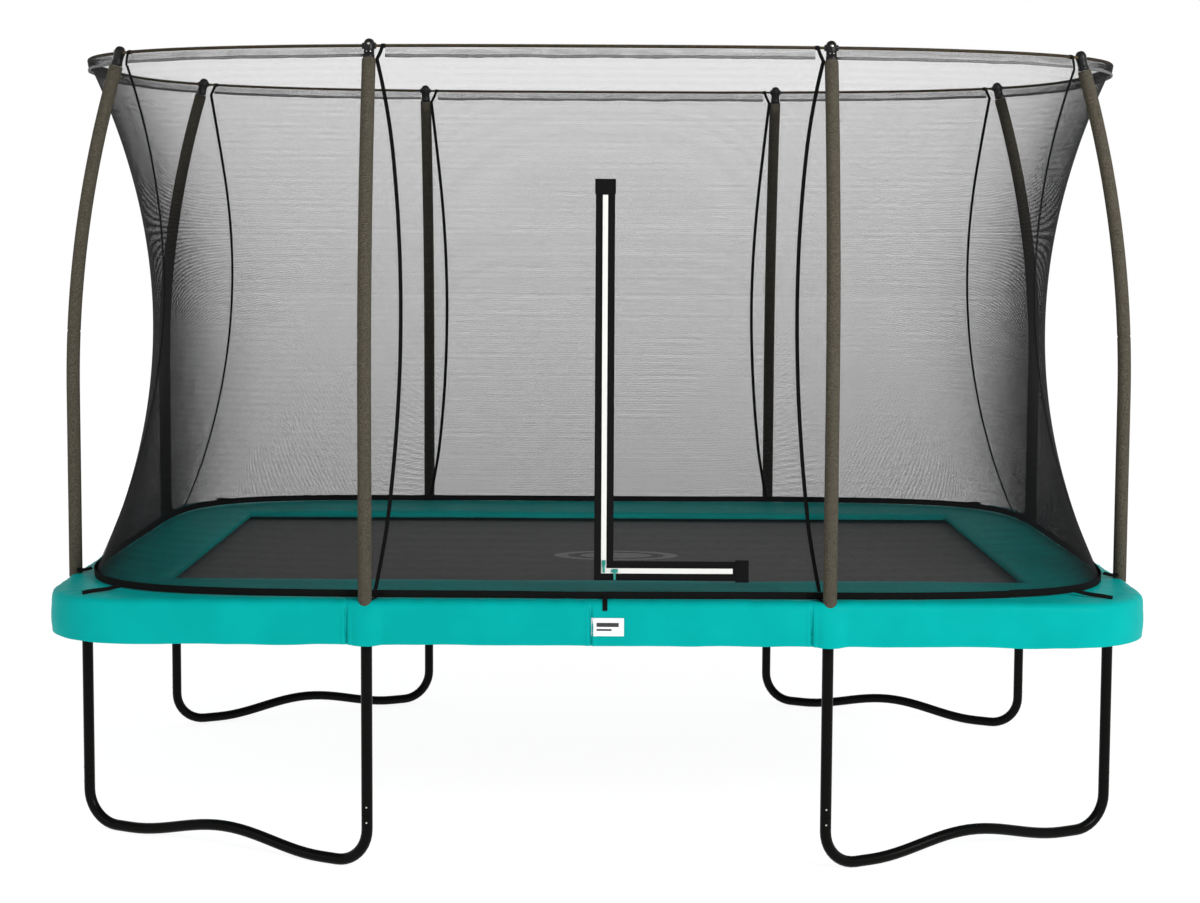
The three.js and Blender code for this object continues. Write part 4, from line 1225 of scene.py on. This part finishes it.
def build_label(tree):
    """The woven label on the front skirt, with plain bars for a mark."""
    x0, x1 = LABEL_X - LABEL_WIDTH / 2, LABEL_X + LABEL_WIDTH / 2
    z0, z1 = LABEL_Z - LABEL_HEIGHT / 2, LABEL_Z + LABEL_HEIGHT / 2
    rows, places = label_patch(tree, x0, x1, z0, z1, 0.0014)
    label = Shape().grid(rows, places=places).piece("skirt_label", LABEL)
    marks = Shape()
    # Each bar's left, right, lower and upper edge, as shares of the label.
    for left, right, low, high in ((0.16, 0.84, 0.52, 0.74), (0.16, 0.62, 0.3, 0.4)):
        bar_x = (x0 + left * LABEL_WIDTH, x0 + right * LABEL_WIDTH)
        rows, places = label_patch(tree, *bar_x, z0 + low * LABEL_HEIGHT, z0 + high * LABEL_HEIGHT, 0.002)
        marks.grid(rows, places=places)
    mark = marks.piece("label_bars", LABEL_MARK)


STRAP_THICKNESS = 0.0018


def strap(name, points, out, width, rests_on):
    """A flat black strap through points, lying across the direction out."""
    path = curve_through(points, 5)
    across = np.cross(np.gradient(path, axis=0), out)
    across /= np.linalg.norm(across, axis=1)[:, None]
    ribbon(name, path, across, width, STRAP_THICKNESS, rests_on)


def over_edge(tree, inside, out, from_angle, to_angle):
    """Points over a pad's outer edge, seen from a place (x, y) inside it. The angles, in degrees above level,
    are where the line begins and ends."""
    points = []
    pivot = (*inside, 0.886)
    for angle in np.radians(np.linspace(from_angle, to_angle, 7)):
        ray = np.array(out) * math.cos(angle) + np.array((0, 0, 1)) * math.sin(angle)
        points.append(against(tree, pivot, ray, 0.0018))
    return points


def build_straps(trees):
    """The straps that hold the net's hem down to the pads and the poles."""
    edge_y = PAD_HALF_Y - 0.03
    hem_z = HEM_Z + 0.012
    for side, sign in (("front", -1), ("back", 1)):
        tree, out = trees[side], (0, sign, 0)
        x = -sign * 0.025
        edge = (x, sign * edge_y)
        path = curve_through([(x, sign * HEM_HALF_Y, hem_z)] + over_edge(tree, edge, out, 97, 4), 3)
        ribbon("hem_strap_" + side, path, (1, 0, 0), 0.016, STRAP_THICKNESS, "pad_cover_" + side)
    for corner, (x, y) in CORNERS.items():
        side = "front" if y < 0 else "back"
        points = [(1.836, 0.762, 0.931), (1.815, 0.752, 0.929), (1.79, 0.735, hem_z)]
        lean = mirrored((0.3, 0.75, 0.6), corner)
        strap("pole_strap_" + corner, mirrored(points, corner), lean, 0.014, "pad_cover_" + side)
        points = [(0.7, 1.197, hem_z), (0.722, 1.216, 0.926), (0.752, 1.238, 0.914)]
        strap("mid_strap_" + corner, mirrored(points, corner), (0, 0, 1), 0.014, "pad_cover_" + side)
        points = [(1.605, 1.092, hem_z), (1.645, 1.12, 0.9275), (1.685, 1.145, 0.9255), (1.715, 1.16, 0.9215)]
        strap("corner_strap_" + corner, mirrored(points, corner), lean, 0.016, "pad_cover_" + side)


# ---- The jumping mat and its springs ----

SIDES = {"front": (0, -1), "back": (0, 1), "left": (-1, 0), "right": (1, 0)}


def mat_blend(o, replaces=None):
    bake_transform(o)
    declare(replaces)


def side_frame(side):
    """The directions along a side and out of it, and the mat's half length and distance there."""
    x, y = SIDES[side]
    out = np.array((x, y, 0.0))
    along = np.array((-y, x, 0.0))
    half, reach = (MAT_HALF_X, MAT_HALF_Y) if y else (MAT_HALF_Y, MAT_HALF_X)
    return along, out, half, reach


def build_mat():
    for side in SIDES:
        along, out, half, reach = side_frame(side)
        depth = MAT_HALF_Y  # the mitres meet on the long middle line
        rows = []
        for d in np.linspace(0, depth, 34):
            width = half - d
            u = np.linspace(-1, 1, 61) * max(width, 0.0)
            p = out * (reach - d) + np.outer(u, along)
            p[:, 2] = MAT_Z
            rows.append(p)
        rows = np.array(rows)
        places = rows[..., :2].copy()
        mat = Shape().grid(rows, places=places).piece("mat_" + side, MAT, body=None)
        mat_blend(mat, "jump_mat")

        band = Shape()
        for level in (MAT_Z + 0.0012, MAT_Z - 0.0022):
            edge = [out * (reach - 0.02) + along * u for u in np.linspace(-half + 0.02, half - 0.02, 60)]
            path = np.array([p + (0, 0, level) for p in edge])
            band.strip(path, out, 0.04, 0.0018)
        mat_blend(band.piece("mat_webbing_" + side, TAPE, body=None))
        build_springs(side, along, out, half, reach)
    mark = Shape()
    mark_x, mark_y = 0.07, -0.06
    round_turn = np.linspace(0, 2 * math.pi, 73)
    for rx, ry, inner in ((0.24, 0.11, 0.78), (0.14, 0.06, 0.001)):
        rows = []
        for k in (1, inner):
            x, y = mark_x + rx * k * np.cos(round_turn), mark_y + ry * k * np.sin(round_turn)
            rows.append(np.column_stack([x, y, np.full(len(x), MAT_Z + 0.0004)]))
        mark.grid(rows, places=np.array(rows)[..., :2])
    mark.piece("mat_mark", PRINT, body="mat")


def build_springs(side, along, out, half, reach):
    count, spread = (SPRINGS_LONG, SPREAD_X) if side in ("front", "back") else (SPRINGS_SHORT, SPREAD_Y)
    rail = (FRAME_HALF_Y if side in ("front", "back") else FRAME_HALF_X) - RAIL_R
    springs, rings = Shape(), Shape()
    turns, per_turn, coil_r, wire = 13, 9, 0.0075, 0.0014
    for k in range(count):
        u = -spread + 2 * spread * k / (count - 1)
        inner, outer_end = reach + 0.034, rail - 0.022
        angle = np.linspace(0, 2 * math.pi * turns, turns * per_turn + 1)
        distance = np.linspace(inner + 0.006, outer_end - 0.006, len(angle))
        path = (
            out * distance[:, None]
            + along * (u + coil_r * np.cos(angle))[:, None]
            + np.array((0, 0, 1)) * (SPRING_Z + coil_r * np.sin(angle))[:, None]
        )
        start = [
            out * inner + along * u + (0, 0, SPRING_Z - 0.004),
            out * (inner + 0.003) + along * u + (0, 0, SPRING_Z),
        ]
        finish = [
            out * (outer_end + 0.002) + along * u + (0, 0, SPRING_Z),
            out * (rail + 0.004) + along * u + (0, 0, SPRING_Z + 0.012),
        ]
        springs.tube(np.vstack([start, path, finish]), wire, 5)
        corners = [
            out * (reach - 0.012) + along * (u - 0.02),
            out * (reach + 0.036) + along * (u - 0.003),
            out * (reach + 0.036) + along * (u + 0.003),
            out * (reach - 0.012) + along * (u + 0.02),
        ]
        ring = np.array([c + (0, 0, MAT_Z - 0.0045) for c in corners])
        near = ring[0] + (ring[1] - ring[0]) * np.linspace(0, 0.97, 5)[:, None]
        far = ring[2] + (ring[3] - ring[2]) * np.linspace(0.03, 1, 5)[:, None]
        dense = np.vstack([near, ring[1:3], far])
        rings.tube(dense, 0.0019, 6)
    made = springs.piece("springs_" + side, STEEL, sharp=60, weld=False, body=None)
    mat_blend(made, "spring_set")
    mat_blend(rings.piece("v_rings_" + side, STEEL, sharp=60, weld=False, body=None))


# ---- Floor, light and camera ----


def build_stage():
    floor = Shape().face([(-60, -60, 0), (60, -60, 0), (60, 60, 0), (-60, 60, 0)])
    finish = material("floor_paper", (0.2, 0.2, 0.2), 0.9, specular=0.05)
    shader = finish.node_tree.nodes["Principled BSDF"]
    shader.inputs["Emission Color"].default_value = (1, 1, 1, 1)
    shader.inputs["Emission Strength"].default_value = 0.9
    floor.piece("floor", finish, body=None)
    world = bpy.data.worlds.new("studio")
    bpy.context.scene.world = world
    world.use_nodes = True
    background = world.node_tree.nodes["Background"]
    background.inputs["Color"].default_value = (1, 1, 1, 1)
    # Bright all round, dimmer overhead.
    direction = node(world, "ShaderNodeTexCoord").outputs["Generated"]
    height = node(world, "ShaderNodeSeparateXYZ", inputs={0: direction}).outputs[2]
    strength = node(world, "ShaderNodeMapRange", inputs={"Value": height, 1: 0.3, 2: 0.75, 3: 1.0, 4: 0.35})
    world.node_tree.links.new(strength.outputs[0], background.inputs["Strength"])
    for name, place, size, power in (
        ("key", (5.5, -7.0, 5.0), 3.0, 560),
        ("fill", (-6.0, -6.0, 4.0), 3.0, 60),
    ):
        light = bpy.data.lights.new(name, "AREA")
        light.size, light.energy = size, power
        lamp = bpy.data.objects.new(name, light)
        lamp.location = place
        lamp.rotation_mode = "QUATERNION"
        lamp.rotation_quaternion = (Vector((0, 0, 1.2)) - Vector(place)).to_track_quat("-Z", "Y")
        bpy.context.scene.collection.objects.link(lamp)
    bpy.context.scene.view_settings.view_transform = "Standard"


CAMERA_AT = (0.0061, -7.7171, 2.1288)
CAMERA_LENS, CAMERA_PITCH, CAMERA_YAW, CAMERA_ROLL = 59.75, 0.075, -0.0002, 0.0051
# The lens is shifted down a little, since the uprights hardly converge in the view.
CAMERA_SHIFT = -0.0585


def build_camera():
    lens = bpy.data.cameras.new("camera")
    lens.sensor_width = 36
    lens.lens = CAMERA_LENS
    lens.shift_y = CAMERA_SHIFT
    camera = bpy.data.objects.new("camera", lens)
    bpy.context.scene.collection.objects.link(camera)
    turn = (
        Matrix.Rotation(-CAMERA_YAW, 4, "Z")
        @ Matrix.Rotation(math.pi / 2 - CAMERA_PITCH, 4, "X")
        @ Matrix.Rotation(CAMERA_ROLL, 4, "Z")
    )
    camera.matrix_world = Matrix.Translation(CAMERA_AT) @ turn
    bpy.context.scene.camera = camera


build_frame()
build_legs()
build_poles()
build_ring()
build_net()
build_entrance()
build_pads()
build_mat()
build_stage()
build_camera()
